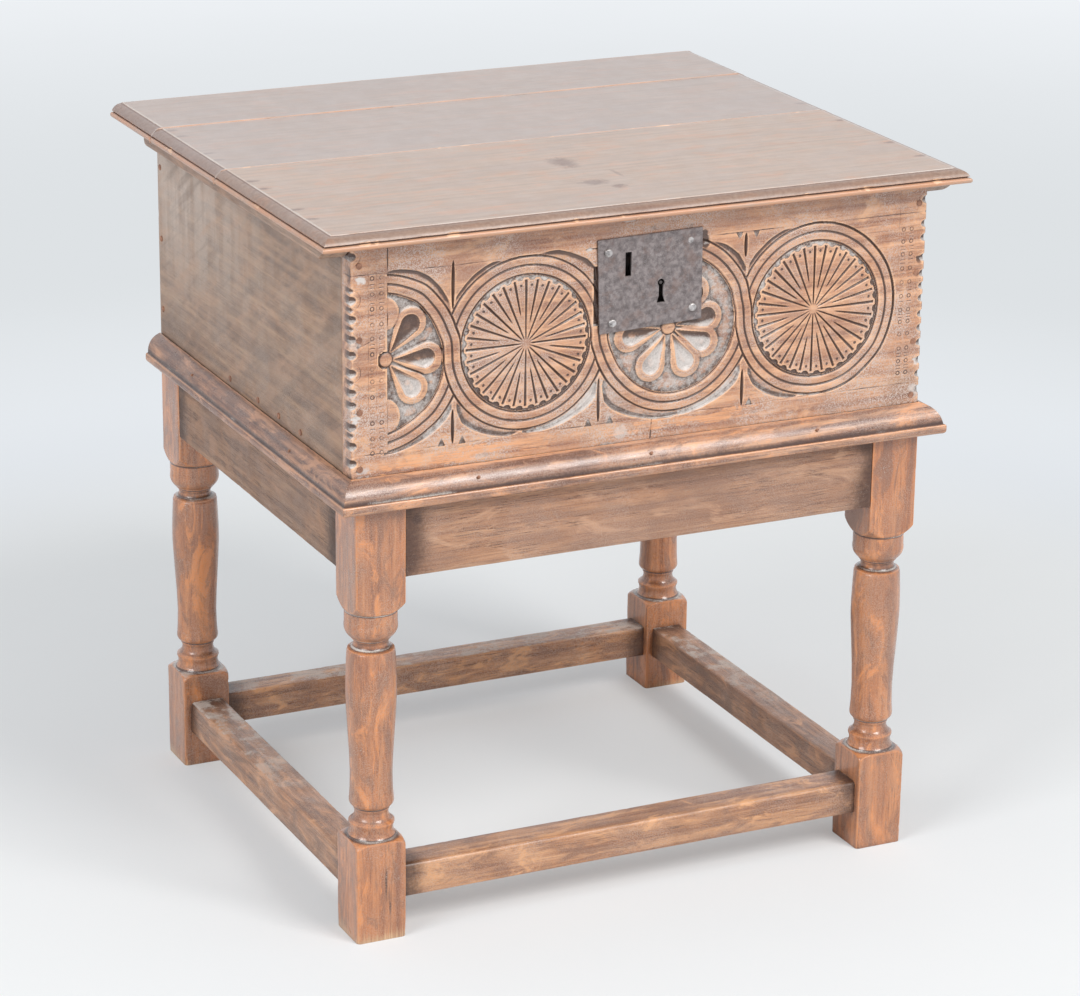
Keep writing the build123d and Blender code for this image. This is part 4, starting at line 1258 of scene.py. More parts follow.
@dataclass
class Stand:
    """Joined stand: four turned legs, rails above, stretchers below, and a moulded rim."""

    leg_x: float = 274.5
    leg_front: float = -245.5
    leg_back: float = 230.5
    long_span: tuple[float, float] = (-249.0, 249.0)
    short_span: tuple[float, float] = (-220.0, 205.0)
    rail_x: float = 287.0
    rail_front: float = -258.0
    rail_back: float = 243.0
    rail_low: float = 368.0
    rail_high: float = 452.0
    rail_half_thick: float = 12.0
    stretcher_low: float = 37.5
    stretcher_high: float = 71.5
    stretcher_half_thick: float = 18.0
    box_front: float = -265.0
    box_back: float = 250.0
    box_half: float = 301.5
    rim_low: float = 439.5
    rim_lip_top: float = 450.0
    rim_high: float = 470.0
    rim_gap: float = 0.4
    rim_lip_radius: float = 4.4
    rim_step: float = 2.0
    rim_ovolo: float = 4.4
    rim_reaches: tuple[float, float, float] = (17.0, 21.5, 21.0)

    def build(self) -> None:
        """Builds every piece of the stand."""
        self.legs()
        self.rails()
        self.stretchers()
        self.mouldings()

    def legs(self) -> None:
        """Builds the four legs."""
        for side, x in (("left", -self.leg_x), ("right", self.leg_x)):
            for end, y in (("front", self.leg_front), ("back", self.leg_back)):
                TurnedLeg(f"leg_{end}_{side}", x, y).build()

    def bars(self, kind: str, outline: Array, places: Sequence[float], finishes: Sequence[Finish],
             wear: float) -> None:
        """Builds the four rails or the four stretchers.

        Args:
            kind: First word of their CAD nodes.
            outline: Section in thickness and height, about its own middle line.
            places: Middle of the front one, of the back one, and of the right one.
            finishes: Finish of the long ones and of the short ones.
            wear: How deep their arrises are rubbed.
        """
        mirrored, (front, back, right), (long, short) = outline * (-1, 1), places, finishes
        for side, section, middle, span, finish in (
            ("front", outline, (0, front, 0), self.long_span, long),
            ("back", mirrored, (0, back, 0), self.long_span, long),
            ("left", mirrored, (-right, 0, 0), self.short_span, short),
            ("right", outline, (right, 0, 0), self.short_span, short),
        ):
            out, along = ((0, -1, 0), (1, 0, 0)) if finish is long else ((1, 0, 0), (0, 1, 0))
            ones = np.ones(len(section))
            run = Run(section, ones * span[0], ones * span[1], middle, out, along,
                      wear_depth=wear, sway=0.2, end_grime=0.75)
            node = f"{kind}_{side}"
            run.shell().build(f"{node}_worn", Body.STAND, "stand_oak", finish.material, [node])

    def rails(self) -> None:
        """Builds the four rails under the rim."""
        low, high, half = self.rail_low, self.rail_high, self.rail_half_thick
        corners = [(-half, low, 0.8), (half, low, 1.6), (half, high, 0.6), (-half, high, 0.6)]
        self.bars("rail", densify(rounded(corners), 6), (self.rail_front, self.rail_back, self.rail_x),
                  (Finish.RAIL, Finish.RAIL_SIDE), 0.6)

    def stretchers(self) -> None:
        """Builds the four stretchers, their upper outer arris rounded by feet."""
        low, high, half = self.stretcher_low, self.stretcher_high, self.stretcher_half_thick
        corners = [(-half, low, 1.2), (half, low, 1.2), (half, high, 4.0), (-half, high, 1.6)]
        self.bars("stretcher", densify(rounded(corners, 6), 5), (self.leg_front, self.leg_back, self.leg_x),
                  (Finish.STRETCHER, Finish.STRETCHER_SIDE), 1.0)

    def rim_section(self, reach: float, offset: float) -> Array:
        """Draws the rim's moulding: an ovolo over a small step and a rounded lip.

        Args:
            reach: How far it stands out from the face of the box.
            offset: How far its lower back lies from that face.

        Returns:
            The closed outline, as rows of reach and height.
        """
        lip, step, lip_top = self.rim_lip_radius, self.rim_step, self.rim_lip_top
        turn = np.linspace(0, math.pi / 2, 7)
        below = np.stack((reach - lip + lip * np.sin(turn), self.rim_low + lip - lip * np.cos(turn)), 1)
        nose = (reach - step + step * np.cos(turn[::2]), lip_top - step + step * np.sin(turn[::2]))
        nose = np.stack(nose, 1)
        ovolo = arc((reach - 2.6, lip_top + 0.2), (self.rim_gap, self.rim_high), -self.rim_ovolo, 16)
        inner = [(self.rim_gap, self.rail_high), (offset, self.rail_high), (offset, self.rim_low)]
        return densify(np.concatenate((inner, below, nose, ovolo)), 3)

    def mouldings(self) -> None:
        """Builds the three mouldings of the rim, mitred at the front corners."""
        gap = self.rim_gap
        corner_x, corner_y = self.box_half + gap, self.box_front - gap
        left, right, front = self.rim_reaches
        section = self.rim_section(front, 6.0)
        reach = (section[:, 0] - gap) / (front - gap)
        starts = -(corner_x + reach * (left - gap))
        ends = corner_x + reach * (right - gap)
        run = Run(section, starts, ends, (0, self.box_front, 0), (0, -1, 0), (1, 0, 0), 2.5, 0.5, 0.25)
        run.shell().build("moulding_front_worn", Body.STAND, "moulding_oak", Finish.MOULDING.material,
                          ["moulding_front"])
        for side, sign, deep in (("left", -1, left), ("right", 1, right)):
            section = self.rim_section(deep, -1.5)
            share = np.clip((section[:, 0] - gap) / (deep - gap), -0.2, 1)
            begin = corner_y - share * (front - gap)
            run = Run(section, begin, 0 * begin + self.box_back, (sign * self.box_half, 0, 0), (sign, 0, 0),
                      (0, 1, 0), 2.5, 0.6, 0.25, 1.0)
            run.shell().build(f"moulding_{side}_worn", Body.STAND, "moulding_oak",
                              Finish.MOULDING_SIDE.material, [f"moulding_{side}"])


# ---- boards ----
@dataclass
class Board:
    """A flat board lying in its own axes, with a worked edge on any of its four sides.

    It is wide in a, long in b and thick in c. Its edge is given as rows of inset and c, from the
    top face down, and each side of the board takes either that profile or a plain arris.
    """

    a_span: tuple[float, float]
    b_span: tuple[float, float]
    top: float
    bottom: float
    axes: Sequence[Sequence[float]]
    profile: Array
    worked: Sequence[bool]
    spacing: float = 5.0
    wear_depth: float = 0.7
    relief: float = 0.15
    seed: float = 0.0
    # painted shade laid on the worked edge below its crease, through the grime mark
    edge_shade: float = 0.0
    crease: float = 0.0
    under_inset: float = 5.0

    def plain(self) -> Array:
        """Draws a plain arris in as many rows as the worked edge has.

        Returns:
            Rows of inset and c.
        """
        top, bottom = self.top, self.bottom
        levels = [top, top - 0.15, top - 0.8, bottom + 0.6, bottom + 0.1, bottom]
        c = np.interp(np.linspace(0, 1, len(self.profile)), [0, 0.12, 0.24, 0.76, 0.88, 1], levels)
        inset = np.interp(c, [bottom, bottom + 0.6, top - 0.8, top], [0.6, 0.0, 0.0, 0.8])
        return np.stack((inset, c), 1)

    def edge_rings(self, na: int, nb: int) -> Array:
        """Lays out the rings of points down the edge of the board.

        Args:
            na: Points along each side in a.
            nb: Points along each side in b.

        Returns:
            The points, ring by ring, from the top face down.
        """
        plain = self.plain()
        sides = [self.profile if worked else plain for worked in self.worked]
        ta, tb = np.arange(na) / na, np.arange(nb) / nb
        rings = []
        for front, right, back, left in zip(*sides):
            a0, a1 = self.a_span[0] + left[0], self.a_span[1] - right[0]
            b0, b1 = self.b_span[0] + front[0], self.b_span[1] - back[0]
            rings.append(np.concatenate((
                np.stack((a0 + (a1 - a0) * ta, 0 * ta + b0, 0 * ta + front[1]), 1),
                np.stack((0 * tb + a1, b0 + (b1 - b0) * tb, 0 * tb + right[1]), 1),
                np.stack((a1 - (a1 - a0) * ta, 0 * ta + b1, 0 * ta + back[1]), 1),
                np.stack((0 * tb + a0, b1 - (b1 - b0) * tb, 0 * tb + left[1]), 1),
            )))
        return np.array(rings)

    def bends(self) -> tuple[Array, Array]:
        """Reads how the worked edge turns.

        Returns:
            How convex and how hollow it is at each row, from 0 to 1.
        """
        closed = np.concatenate((self.profile[:1] + (4, 0), self.profile, self.profile[-1:] + (4, 0)))
        before, after = unit(closed[1:-1] - closed[:-2]), unit(closed[2:] - closed[1:-1])
        bend = before[:, 0] * after[:, 1] - before[:, 1] * after[:, 0]
        return np.clip(bend * 2, 0, 1), np.clip(-bend * 2, 0, 1)

    def top_grid(self, ring: Array, na: int, nb: int) -> tuple[Array, Array]:
        """Lays out the top face inside the first ring.

        Args:
            ring: Points of the first ring.
            na: Cells in a.
            nb: Cells in b.

        Returns:
            The inner points, and the numbers of all the face's points, with -1 where the
            inner ones belong.
        """
        grid_a, grid_b = np.meshgrid(np.arange(1, na) / na, np.arange(1, nb) / nb, indexing="ij")
        a0, a1 = ring[:, 0].min(), ring[:, 0].max()
        b0, b1 = ring[:, 1].min(), ring[:, 1].max()
        inner = np.stack((a0 + (a1 - a0) * grid_a, b0 + (b1 - b0) * grid_b, 0 * grid_a + self.top), -1)
        inner[..., 2] += self.relief * (NOISE.rough(inner + self.seed * 9, (110, 60, 60), 2) - 1)
        index = np.full((na + 1, nb + 1), -1)
        index[np.arange(na), 0] = np.arange(na)
        index[na, np.arange(nb)] = na + np.arange(nb)
        index[na - np.arange(na), nb] = na + nb + np.arange(na)
        index[0, nb - np.arange(nb)] = 2 * na + nb + np.arange(nb)
        return inner, index

    def shell(self) -> Shell:
        """Makes the board's mesh.

        Returns:
            The mesh in the making: rings down the edge, a grid on top and an even face below.
        """
        na = max(2, round((self.a_span[1] - self.a_span[0]) / self.spacing))
        nb = max(2, round((self.b_span[1] - self.b_span[0]) / self.spacing))
        counts = (na, nb, na, nb)
        rings = self.edge_rings(na, nb)
        levels, count = len(self.profile), sum(counts)
        outward = ((0, -1, 0), (1, 0, 0), (0, 1, 0), (-1, 0, 0))
        ways = np.concatenate([np.tile(way, (n, 1)) for way, n in zip(outward, counts)]).astype(float)
        worked_at = np.concatenate([np.full(n, worked) for n, worked in zip(counts, self.worked)])
        convex, hollow = (np.where(worked_at[None], rows[:, None], 0.0) for rows in self.bends())
        share = np.linspace(0, 1, levels)[:, None]
        arris = np.where((share < 0.3) | (share > 0.72), 1.0, 0.0) * ~worked_at[None]
        convex = np.maximum(convex, arris * 0.8)
        # painted shade: the worked edge between the crease and the bead is darkened through the grime mark,
        # as it catches no sheen
        edge_shade_mark = self.edge_shade * (worked_at[None] & (share > 0.1) & (share < 0.68))
        shifted = rings + self.seed * 31.0
        rub = 0.5 + 0.5 * NOISE.rough(shifted, (34, 34, 34), 3)
        nibble = np.clip(NOISE.rough(shifted + 70, (8, 8, 8), 2) * 1.7 - 0.55, 0, 1)
        creased = self.crease * (share < 0.1) * np.clip(0.35 + 0.9 * rub, 0, 1)
        push = -self.wear_depth * convex * (0.3 + 0.7 * rub + 2.0 * nibble)
        rings = rings + push[..., None] * ways[None] * 0.8
        rings[..., 2] += np.where(share < 0.5, push, -push) * 0.35
        inner, index = self.top_grid(rings[0], na, nb)
        start, below = levels * count, levels * count + (na - 1) * (nb - 1) + np.arange(count)
        index[1:na, 1:nb] = start + np.arange((na - 1) * (nb - 1)).reshape(na - 1, nb - 1)
        under = rings[-1].copy()
        for k, (least, most) in enumerate((self.a_span, self.b_span)):
            middle = (least + most) / 2
            under[:, k] = middle + (under[:, k] - middle) * (1 - 2 * self.under_inset / (most - least))
        under[:, 2] = self.bottom
        edge = (levels - 1) * count + np.arange(count)
        faces = grid_faces(index).tolist() + tube_faces(levels, count)[:, [0, 3, 2, 1]].tolist()
        faces += np.stack((edge, below, np.roll(below, -1), np.roll(edge, -1)), 1).tolist()
        faces.append(below[::-1].tolist())
        frame_of = np.array(self.axes, float)
        if np.linalg.det(frame_of) < 0:
            faces = [f[::-1] for f in faces]
        unmarked = np.zeros((na - 1) * (nb - 1) + count)
        marks = {"wear": convex * (0.3 + 0.9 * rub), "grime": np.maximum(hollow, edge_shade_mark),
                 "dust": np.maximum(hollow * 0.25, creased), "bare": convex * nibble * 1.6}
        return Shell(
            np.concatenate((rings.reshape(-1, 3), inner.reshape(-1, 3), under)) @ frame_of, faces,
            **{mark: np.concatenate((values.ravel(), unmarked)) for mark, values in marks.items()},
        )


@dataclass
class Lid:
    """Lid of three boards with a moulded edge, nailed to a cleat at each end."""

    half_width: float = 337.5
    front: float = -288.5
    back: float = 288.5
    low: float = 692.6
    high: float = 706.6
    back_high: float = 707.4
    joint_front: float = -12.5
    joint_back: float = 167.5
    gap: float = 0.4
    quirk: float = 698.1
    bead_radius: float = 2.75
    cleat_inner: float = 302.3
    cleat_outer: float = 328.8
    cleat_low: float = 679.1
    cleat_front: float = -271.5
    cleat_back: float = 210.5
    cleat_rake: float = 19.0
    cleat_rounding: float = 9.0

    def edge(self, top: float) -> Array:
        """Draws the moulded edge: crease, ovolo, quirk and bead.

        Args:
            top: Height of the board's upper face.

        Returns:
            Rows of inset and height, from the top down.
        """
        quirk, deep = self.quirk, self.bead_radius
        ovolo = arc((12.5, top - 0.8), (2.0, quirk + 1.4), -1.8, 8)
        bead = [(deep, quirk), (1.2, quirk - 0.5), (0.25, quirk - 1.5), (0.0, quirk - deep),
                (0.25, quirk - 4.0), (1.2, quirk - 5.0), (deep, self.low)]
        return np.array([(13.3, top), (12.6, top - 0.1), *ovolo, (3.95, quirk + 0.5), (3.95, quirk), *bead])

    def build(self) -> None:
        """Builds the boards and the cleats."""
        spans = {
            "front": (self.front, self.joint_front - self.gap, self.high, (True, True, False, True)),
            "middle": (self.joint_front, self.joint_back - self.gap, self.high, (False, True, False, True)),
            "back": (self.joint_back, self.back, self.back_high, (False, True, False, True)),
        }
        for seed, (place, (y0, y1, top, worked)) in enumerate(spans.items()):
            # edge_shade darkens the moulded edge of each board as painted shade
            board = Board((-self.half_width, self.half_width), (y0, y1), top, self.low,
                          ((1, 0, 0), (0, 1, 0), (0, 0, 1)), self.edge(top), worked, spacing=4.0,
                          wear_depth=0.6, relief=0.12, seed=seed, edge_shade=0.48, crease=0.85)
            board.shell().build(f"lid_board_{place}_worn", Body.LID, "lid_oak", Finish.LID.material,
                                [f"lid_board_{place}"])
        for side, sign in (("left", -1), ("right", 1)):
            self.cleat(side, sign)

    def cleat(self, side: str, sign: int) -> None:
        """Builds the cleat under one end, raked in front and rounded behind.

        Args:
            side: Side of the lid.
            sign: Its direction along X.
        """
        inner, outer, low, high = self.cleat_inner, self.cleat_outer, self.cleat_low, self.low
        corners = [(inner, low, 1.0), (outer, low, 4.0), (outer, high, 0.2), (inner, high, 0.2)]
        section = densify(rounded(corners, 6), 3)
        up = section[:, 1] - low
        starts = self.cleat_front + self.cleat_rake * (1 - up / (high - low))
        below = 1 - np.clip(up / self.cleat_rounding, 0, 1)
        ends = self.cleat_back - self.cleat_rounding * (1 - np.sqrt(1 - below**2))
        run = Run(section, starts, ends, (0, 0, 0), (sign, 0, 0), (0, 1, 0), 4.0, 0.6, 0.1, sign)
        run.shell().build(f"cleat_{side}_worn", Body.LID, "lid_oak", Finish.LID_SIDEWAYS.material,
                          [f"cleat_{side}"])


@dataclass
class BoxBoards:
    """The two sides and the back of the box, plain boards; the sides' finish gives them plane marks."""

    half: float = 301.5
    side_thick: float = 17.0
    arris: float = 0.9

    def build(self) -> None:
        """Builds the sides and the back."""
        for side, sign in (("left", -1), ("right", 1)):
            self.side_board(side, sign)
        self.back_board()

    def side_board(self, side: str, sign: int) -> None:
        """Builds one side.

        Args:
            side: Side of the box.
            sign: Its direction along X.
        """
        (_, y0, z0), (_, y1, z1) = (np.array(corner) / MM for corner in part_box(f"side_{side}"))
        outer, inner, arris = self.half, self.half - self.side_thick, self.arris
        profile = np.array([(arris, outer), (arris / 3, outer - 0.2), (0.0, outer - arris),
                            (0.0, inner + 0.6), (0.5, inner)])
        board = Board((y0, y1), (z0, z1), outer, inner, ((0, 1, 0), (0, 0, 1), (sign, 0, 0)), profile,
                      (True,) * 4, spacing=5.0, wear_depth=0.8, relief=0.35, seed=5 + sign)
        node = f"side_{side}"
        board.shell().build(f"{node}_planed", Body.BOX, "side_oak", Finish.SIDE.material, [node])

    def back_board(self) -> None:
        """Builds the back board."""
        (x0, y0, z0), (x1, y1, z1) = (np.array(corner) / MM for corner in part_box("back_board"))
        profile = np.array([(0.8, y1), (0.2, y1 - 0.2), (0.0, y1 - 0.8), (0.0, y0 + 0.6), (0.5, y0)])
        board = Board((x0, x1), (z0, z1), y1, y0, ((1, 0, 0), (0, 0, 1), (0, 1, 0)), profile,
                      (True,) * 4, spacing=6.0, wear_depth=0.7, relief=0.3, seed=9)
        board.shell().build("back_board_planed", Body.BOX, "side_oak", Finish.BACK.material, ["back_board"])


# ---- the carved front ----
@dataclass(frozen=True)
class Ring:
    """One ring of the interlace: its centre and the radius of its middle groove by angle."""

    x: float
    z: float
    angles: tuple[float, ...]
    radii: tuple[float, ...]

    def polar(self, x: Array, z: Array) -> tuple[Array, Array]:
        """Distance from the centre and angle in degrees."""
        return np.hypot(x - self.x, z - self.z), np.degrees(np.arctan2(z - self.z, x - self.x))

    def offset(self, x: Array, z: Array) -> Array:
        """Distance outside the band's middle line, negative inside it."""
        reach, angle = self.polar(x, z)
        return reach - np.interp(angle, self.angles, self.radii, period=360)


@dataclass(frozen=True)
class Gouge:
    """A crescent cut outside a ring, between the band and an outer edge given by angle."""

    ring: int
    angles: tuple[float, ...]
    edge: tuple[float, ...]
    depth: float
    dust: float


RINGS = (
    Ring(-267, 580, (-120, -89, -71, -60, -50, -40, 0, 10, 19, 31, 45, 58, 72, 90, 120),
         (80, 80, 76.3, 74.5, 73.9, 72.4, 67, 66.6, 65.6, 65.9, 67, 69.5, 70, 72, 74)),
    Ring(-125.4, 579.5, (0, 45, 90, 180, 270), (75.5, 76, 75.2, 74.8, 74.8)),
    Ring(28, 577, (-179, -169, -155, -138, -120, -103, -87, -62, -35, -25, 3, 15, 26, 40, 55, 67, 90, 135),
         (76.4, 74.8, 73.4, 72.1, 72.5, 73.2, 73.5, 73.9, 74.3, 75, 75.7, 76, 77.9, 78, 78.9, 79.4, 78, 76)),
    Ring(179.6, 578.2, (-101, -85, -64, -45, -32, -15, 0, 10, 23, 39, 57, 90, 120, 180, 230),
         (75.5, 77, 79.2, 79.8, 81, 80.3, 80.1, 80, 79.3, 77.7, 77, 76.8, 75.5, 74.5, 74.5)),
)
GOUGES = (
    Gouge(0, (30, 38, 51, 60, 69, 85, 97), (76, 80.5, 85, 87, 88, 85.5, 81), 1.9, 0.15),
    Gouge(0, (-91, -76, -68, -58, -46, -40, -32), (92, 90.7, 89.8, 89.5, 89, 87, 78), 2.8, 0.95),
    Gouge(1, (100, 113, 125, 143, 153), (84, 89.5, 90, 89, 83), 2.0, 0.2),
    Gouge(1, (36, 43, 50, 59, 69, 78, 86), (90, 97, 98, 95.5, 93, 88, 84), 2.0, 0.15),
    Gouge(1, (-149, -141, -133, -123, -113, -102, -92), (83, 90.8, 95.4, 94.4, 92.8, 90.6, 85), 2.2, 0.5),
    Gouge(1, (-92, -77, -67, -58, -47, -40, -34, -29), (87.5, 89.5, 90.7, 92, 95, 94.7, 90, 83), 2.8, 0.95),
    Gouge(2, (-151, -147, -138, -131, -120, -107, -95, -85), (82, 88, 96.6, 97, 94, 91, 90, 87), 2.6, 0.65),
    Gouge(2, (-85, -73, -63, -52, -41, -35, -28), (88, 88.5, 89.5, 92, 93.5, 90, 83), 2.6, 0.95),
    Gouge(2, (27, 34, 43, 54, 68, 80, 88), (86, 93, 95.4, 93.7, 89.7, 87, 86), 2.2, 0.35),
    Gouge(3, (95, 113, 125, 143, 153), (84, 89.5, 90, 89.5, 83), 2.0, 0.25),
    Gouge(3, (-149, -141, -133, -123, -113, -102, -95), (82, 90, 93.5, 93.4, 92, 89, 84), 2.2, 0.5),
)
CROSSINGS = ((-200.0, 579.5), (-50.0, 578.0), (104.0, 577.5))
DARTS = ((-199.7, 668.0, 620.0), (-199.7, 525.0, 491.0), (-49.3, 537.0, 493.0), (104.0, 662.0, 638.0),
         (104.0, 527.0, 490.0))
CHIPS = ((-211, 491, 1), (-190, 491, 1), (-60, 491, 1), (-37, 491, 1), (112, 491, 1),
         (97, 663, -1), (115, 663, -1))
LEFT_NICKS = (681, 640, 622, 603, 588, 571, 552, 540, 519, 501, 484)
LEFT_SMALL = (649, 631, 613, 562, 511)
RIGHT_NICKS = (675, 651, 637, 617, 601, 588.5, 576, 560, 546, 531, 513, 499, 483)
LEFT_PUNCHES = (659, 644, 630, 615, 602, 587, 573, 561, 546, 521, 506, 492)
RIGHT_PUNCHES = (647, 635, 622, 608, 594, 580, 566, 554, 541.5, 527, 514, 502)
PUNCH_COLUMNS = ((-280.2, LEFT_PUNCHES), (-271.0, LEFT_PUNCHES),
                 (277.0, RIGHT_PUNCHES), (285.7, RIGHT_PUNCHES))


PETAL_TURNS = {0: (52, -4, -48), 2: (8, 50, 95, 140, -27, -63, -117, -173)}
DAISY_MIDDLES = {0: (-267.0, 580.0), 2: (24.0, 578.0)}
# middle and radius of each lobe of the cut daisy
LOBES = ((-267.5, 624.0, 14.5), (-268.0, 525.0, 16.0))


# middle, reach each way, depth and dust of each ragged scar
SCARS = (
    (-22, 687, 14, 4, 0.9, 0.7), (8, 678, 18, 7, 0.5, 0.4), (40, 676, 12, 6, 0.5, 0.4),
    (-60, 664, 6, 5, 1.2, 0.8), (60, 664, 5, 8, 1.4, 0.2), (61, 655, 4, 5, 1.4, 0.1),
    (-292, 660, 9, 10, 0.5, 0.85), (-298, 598, 6, 7, 1.5, 0.5), (-297, 528, 6, 7, 0.9, 0.9),
    (-292, 476, 12, 9, 0.5, 0.6), (296, 617, 6, 6, 1.4, 0.1), (296, 513, 6, 6, 0.9, 0.9),
    (296, 483, 7, 8, 0.6, 0.6), (-246, 473, 10, 3, 0.3, 0.4), (-170, 476, 12, 4, 0.4, 0.45),
    (-40, 495, 9, 9, 0.3, 0.5), (-25, 480, 8, 12, 0.4, 0.55), (-40, 470, 12, 5, 0.4, 0.5),
    (30, 468, 20, 2, 0.3, 0.4), (200, 474, 22, 4, 0.3, 0.3), (120, 482, 14, 4, 0.3, 0.35),
)
# middle, reach each way and amount of each rubbed patch
BARE_PATCHES = (
    (-220, 479, 60, 9, 0.48), (-120, 481, 70, 8, 0.42), (40, 484, 80, 8, 0.45), (130, 478, 60, 8, 0.36),
    (-150, 676, 120, 8, 0.18), (170, 676, 100, 9, 0.18),
)
# place, lower and upper end and lean of each crack
CRACKS = ((7.0, 470, 492, 1.5), (-288.0, 594, 600, 14.0), (45.0, 455, 463, 12.0))


def blurred(values: Array, reach: int) -> Array:
    """Averages values over squares of a grid, twice.

    Args:
        values: One value at each point of the grid.
        reach: How many points each square reaches on either side.

    Returns:
        The averages.
    """
    for _ in range(2):
        for axis in (0, 1):
            padded = np.pad(values, [(reach + 1, reach) if k == axis else (0, 0) for k in (0, 1)], "edge")
            total = np.cumsum(padded, axis)
            ahead = np.take(total, range(2 * reach + 1, total.shape[axis]), axis)
            behind = np.take(total, range(0, total.shape[axis] - 2 * reach - 1), axis)
            values = (ahead - behind) / (2 * reach + 1)
    return values


@dataclass
class CarvedFront:
    """The front board, carved with an interlace of rings round rosettes and daisies."""

    half: float = 301.5
    low: float = 452.3
    high: float = 692.3
    face: float = -265.0
    back: float = -245.0
    step: float = 0.6
    band_half: float = 8.75
    guide_low: float = 491.0
    guide_high: float = 663.0
    carved_low: float = 488.5
    carved_high: float = 666.0
    end_left: float = -265.0
    end_right: float = 262.0
    strand_middle: float = 4.9
    strand_half: float = 3.6
    crossing_blend: float = 22.0
    spokes: int = 32
    rim_strip: float = 0.6
    lock_left: float = -32.0
    lock_right: float = 34.0
    lock_low: float = 597.0
    lock_high: float = 660.0
    lock_deep: float = 13.0
    boss_left: float = -274.0
    depth: Array = field(init=False)
    dust: Array = field(init=False)
    bare: Array = field(init=False)
    grime: Array = field(init=False)

    def __post_init__(self) -> None:
        """Lays out the grid of the carving."""
        across = round(2 * self.half / self.step) + 1
        up = round((self.high - self.low) / self.step) + 1
        columns, rows = np.linspace(-self.half, self.half, across), np.linspace(self.low, self.high, up)
        self.x, self.z = np.meshgrid(columns, rows, indexing="ij")
        self.depth = np.zeros_like(self.x)
        self.dust = np.zeros_like(self.x)
        self.bare = np.zeros_like(self.x)
        self.grime = np.zeros_like(self.x)
        flat = np.stack((self.x, 0 * self.x, self.z), -1)
        self.wobble = NOISE.rough(flat, (14, 14, 14), 3)
        self.fine = NOISE.rough(flat + 400, (3.2, 3.2, 3.2), 2)
        self.along = NOISE.rough(flat + 90, (40, 5, 2.5), 3)

    def sink(self, shape: Array) -> None:
        """Cuts the shape into the board where it is deeper than what is there."""
        self.depth = np.maximum(self.depth, shape)

    def carve(self, where: Array | bool, depth: Array | float = 0.0, dust: Array | float = 0.0,
              grime: Array | float = 0.0, adding: bool = False) -> None:
        """Carves where the mask is set.

        Args:
            where: Mask of the places that change.
            depth: New depth.
            dust: New mark of dust.
            grime: New mark of dirt.
            adding: Whether what is already deeper or more marked stays.
        """
        for name, values in (("depth", depth), ("dust", dust), ("grime", grime)):
            old = getattr(self, name)
            setattr(self, name, np.where(where, np.maximum(old, values) if adding else values, old))

    def build(self) -> None:
        """Carves the board and makes the piece."""
        self.spandrels()
        self.interlace()
        self.borders()
        self.nicks()
        self.damage()
        self.piece()

    def ribbons(self) -> list[Array]:
        """Lays out the ribbons that pass over at the crossings.

        Returns:
            Signed distance from each ribbon, positive to its right.
        """
        made = []
        for k, (_, middle) in enumerate(CROSSINGS):
            weight = ease(self.z, middle - self.crossing_blend, middle + self.crossing_blend)
            made.append(weight * self.offsets[k] - (1 - weight) * self.offsets[k + 1])
        return made

    def band(self, distance: Array) -> Array:
        """Cuts across a band: two round strands, a groove between them and one at each edge.

        Args:
            distance: Distance from the band's middle line.

        Returns:
            The depth at each point.
        """
        away = (np.abs(distance) - self.strand_middle) / self.strand_half
        strand = 0.15 + 0.55 * np.minimum(away**2, 1.2)
        middle = 2.0 * vee(distance, 1.75 + 0.3 * self.wobble) ** 0.8
        edges = 2.3 * vee(np.abs(distance) - self.band_half, 1.6 + 0.3 * self.wobble) ** 0.85
        return np.maximum(np.maximum(strand, middle), edges)

    def spandrels(self) -> None:
        """Cuts the crescents, darts and chips between the rings and the guide lines."""
        self.offsets = [ring.offset(self.x, self.z) for ring in RINGS]
        self.over = self.ribbons()
        for gouge in GOUGES:
            reach, angle = RINGS[gouge.ring].polar(self.x, self.z)
            edge = np.interp(angle, gouge.angles, gouge.edge, left=0, right=0) + 0.5 * self.wobble
            inner = reach - self.offsets[gouge.ring] + self.band_half
            share = np.clip((reach - inner) / np.maximum(edge - inner, 0.5), 0, 1)
            within = (reach < edge) & (self.offsets[gouge.ring] > self.band_half)
            within &= (self.z > self.carved_low) & (self.z < self.carved_high)
            wide = np.clip((edge - inner) / 6.0, 0, 1)
            wall = ease(edge - reach, 0.0, 1.5)
            shape = gouge.depth * wide * wall * (0.35 + 0.65 * share) * (1 + 0.12 * self.along)
            ridge = 0.5 * vee(share - 0.55, 0.12) * (gouge.dust > 0.6)
            powder = gouge.dust * wide * (0.66 + 0.25 * self.wobble + 0.2 * self.fine)
            self.carve(within, shape - ridge, powder, 0.25 * wide, adding=True)
        for x, z0, z1 in DARTS:
            t = np.clip((self.z - min(z0, z1)) / abs(z1 - z0), 0, 1)
            half = 2.3 * np.sqrt(np.clip(1 - (2 * t - 1) ** 2, 0, 1)) + 0.05
            inside = (self.z > min(z0, z1)) & (self.z < max(z0, z1))
            cut = 2.4 * vee(self.x - x, half) * inside * np.clip(half / 1.4, 0, 1)
            self.sink(cut)
        for x, z, way in CHIPS:
            rise = (self.z - z) * way
            cut = (rise > -0.5) & (rise < 7.5 + self.wobble - 2.2 * np.abs(self.x - x))
            self.carve(cut, 1.5 * (1 - rise / 9), 0.4 + 0.3 * self.fine, adding=True)

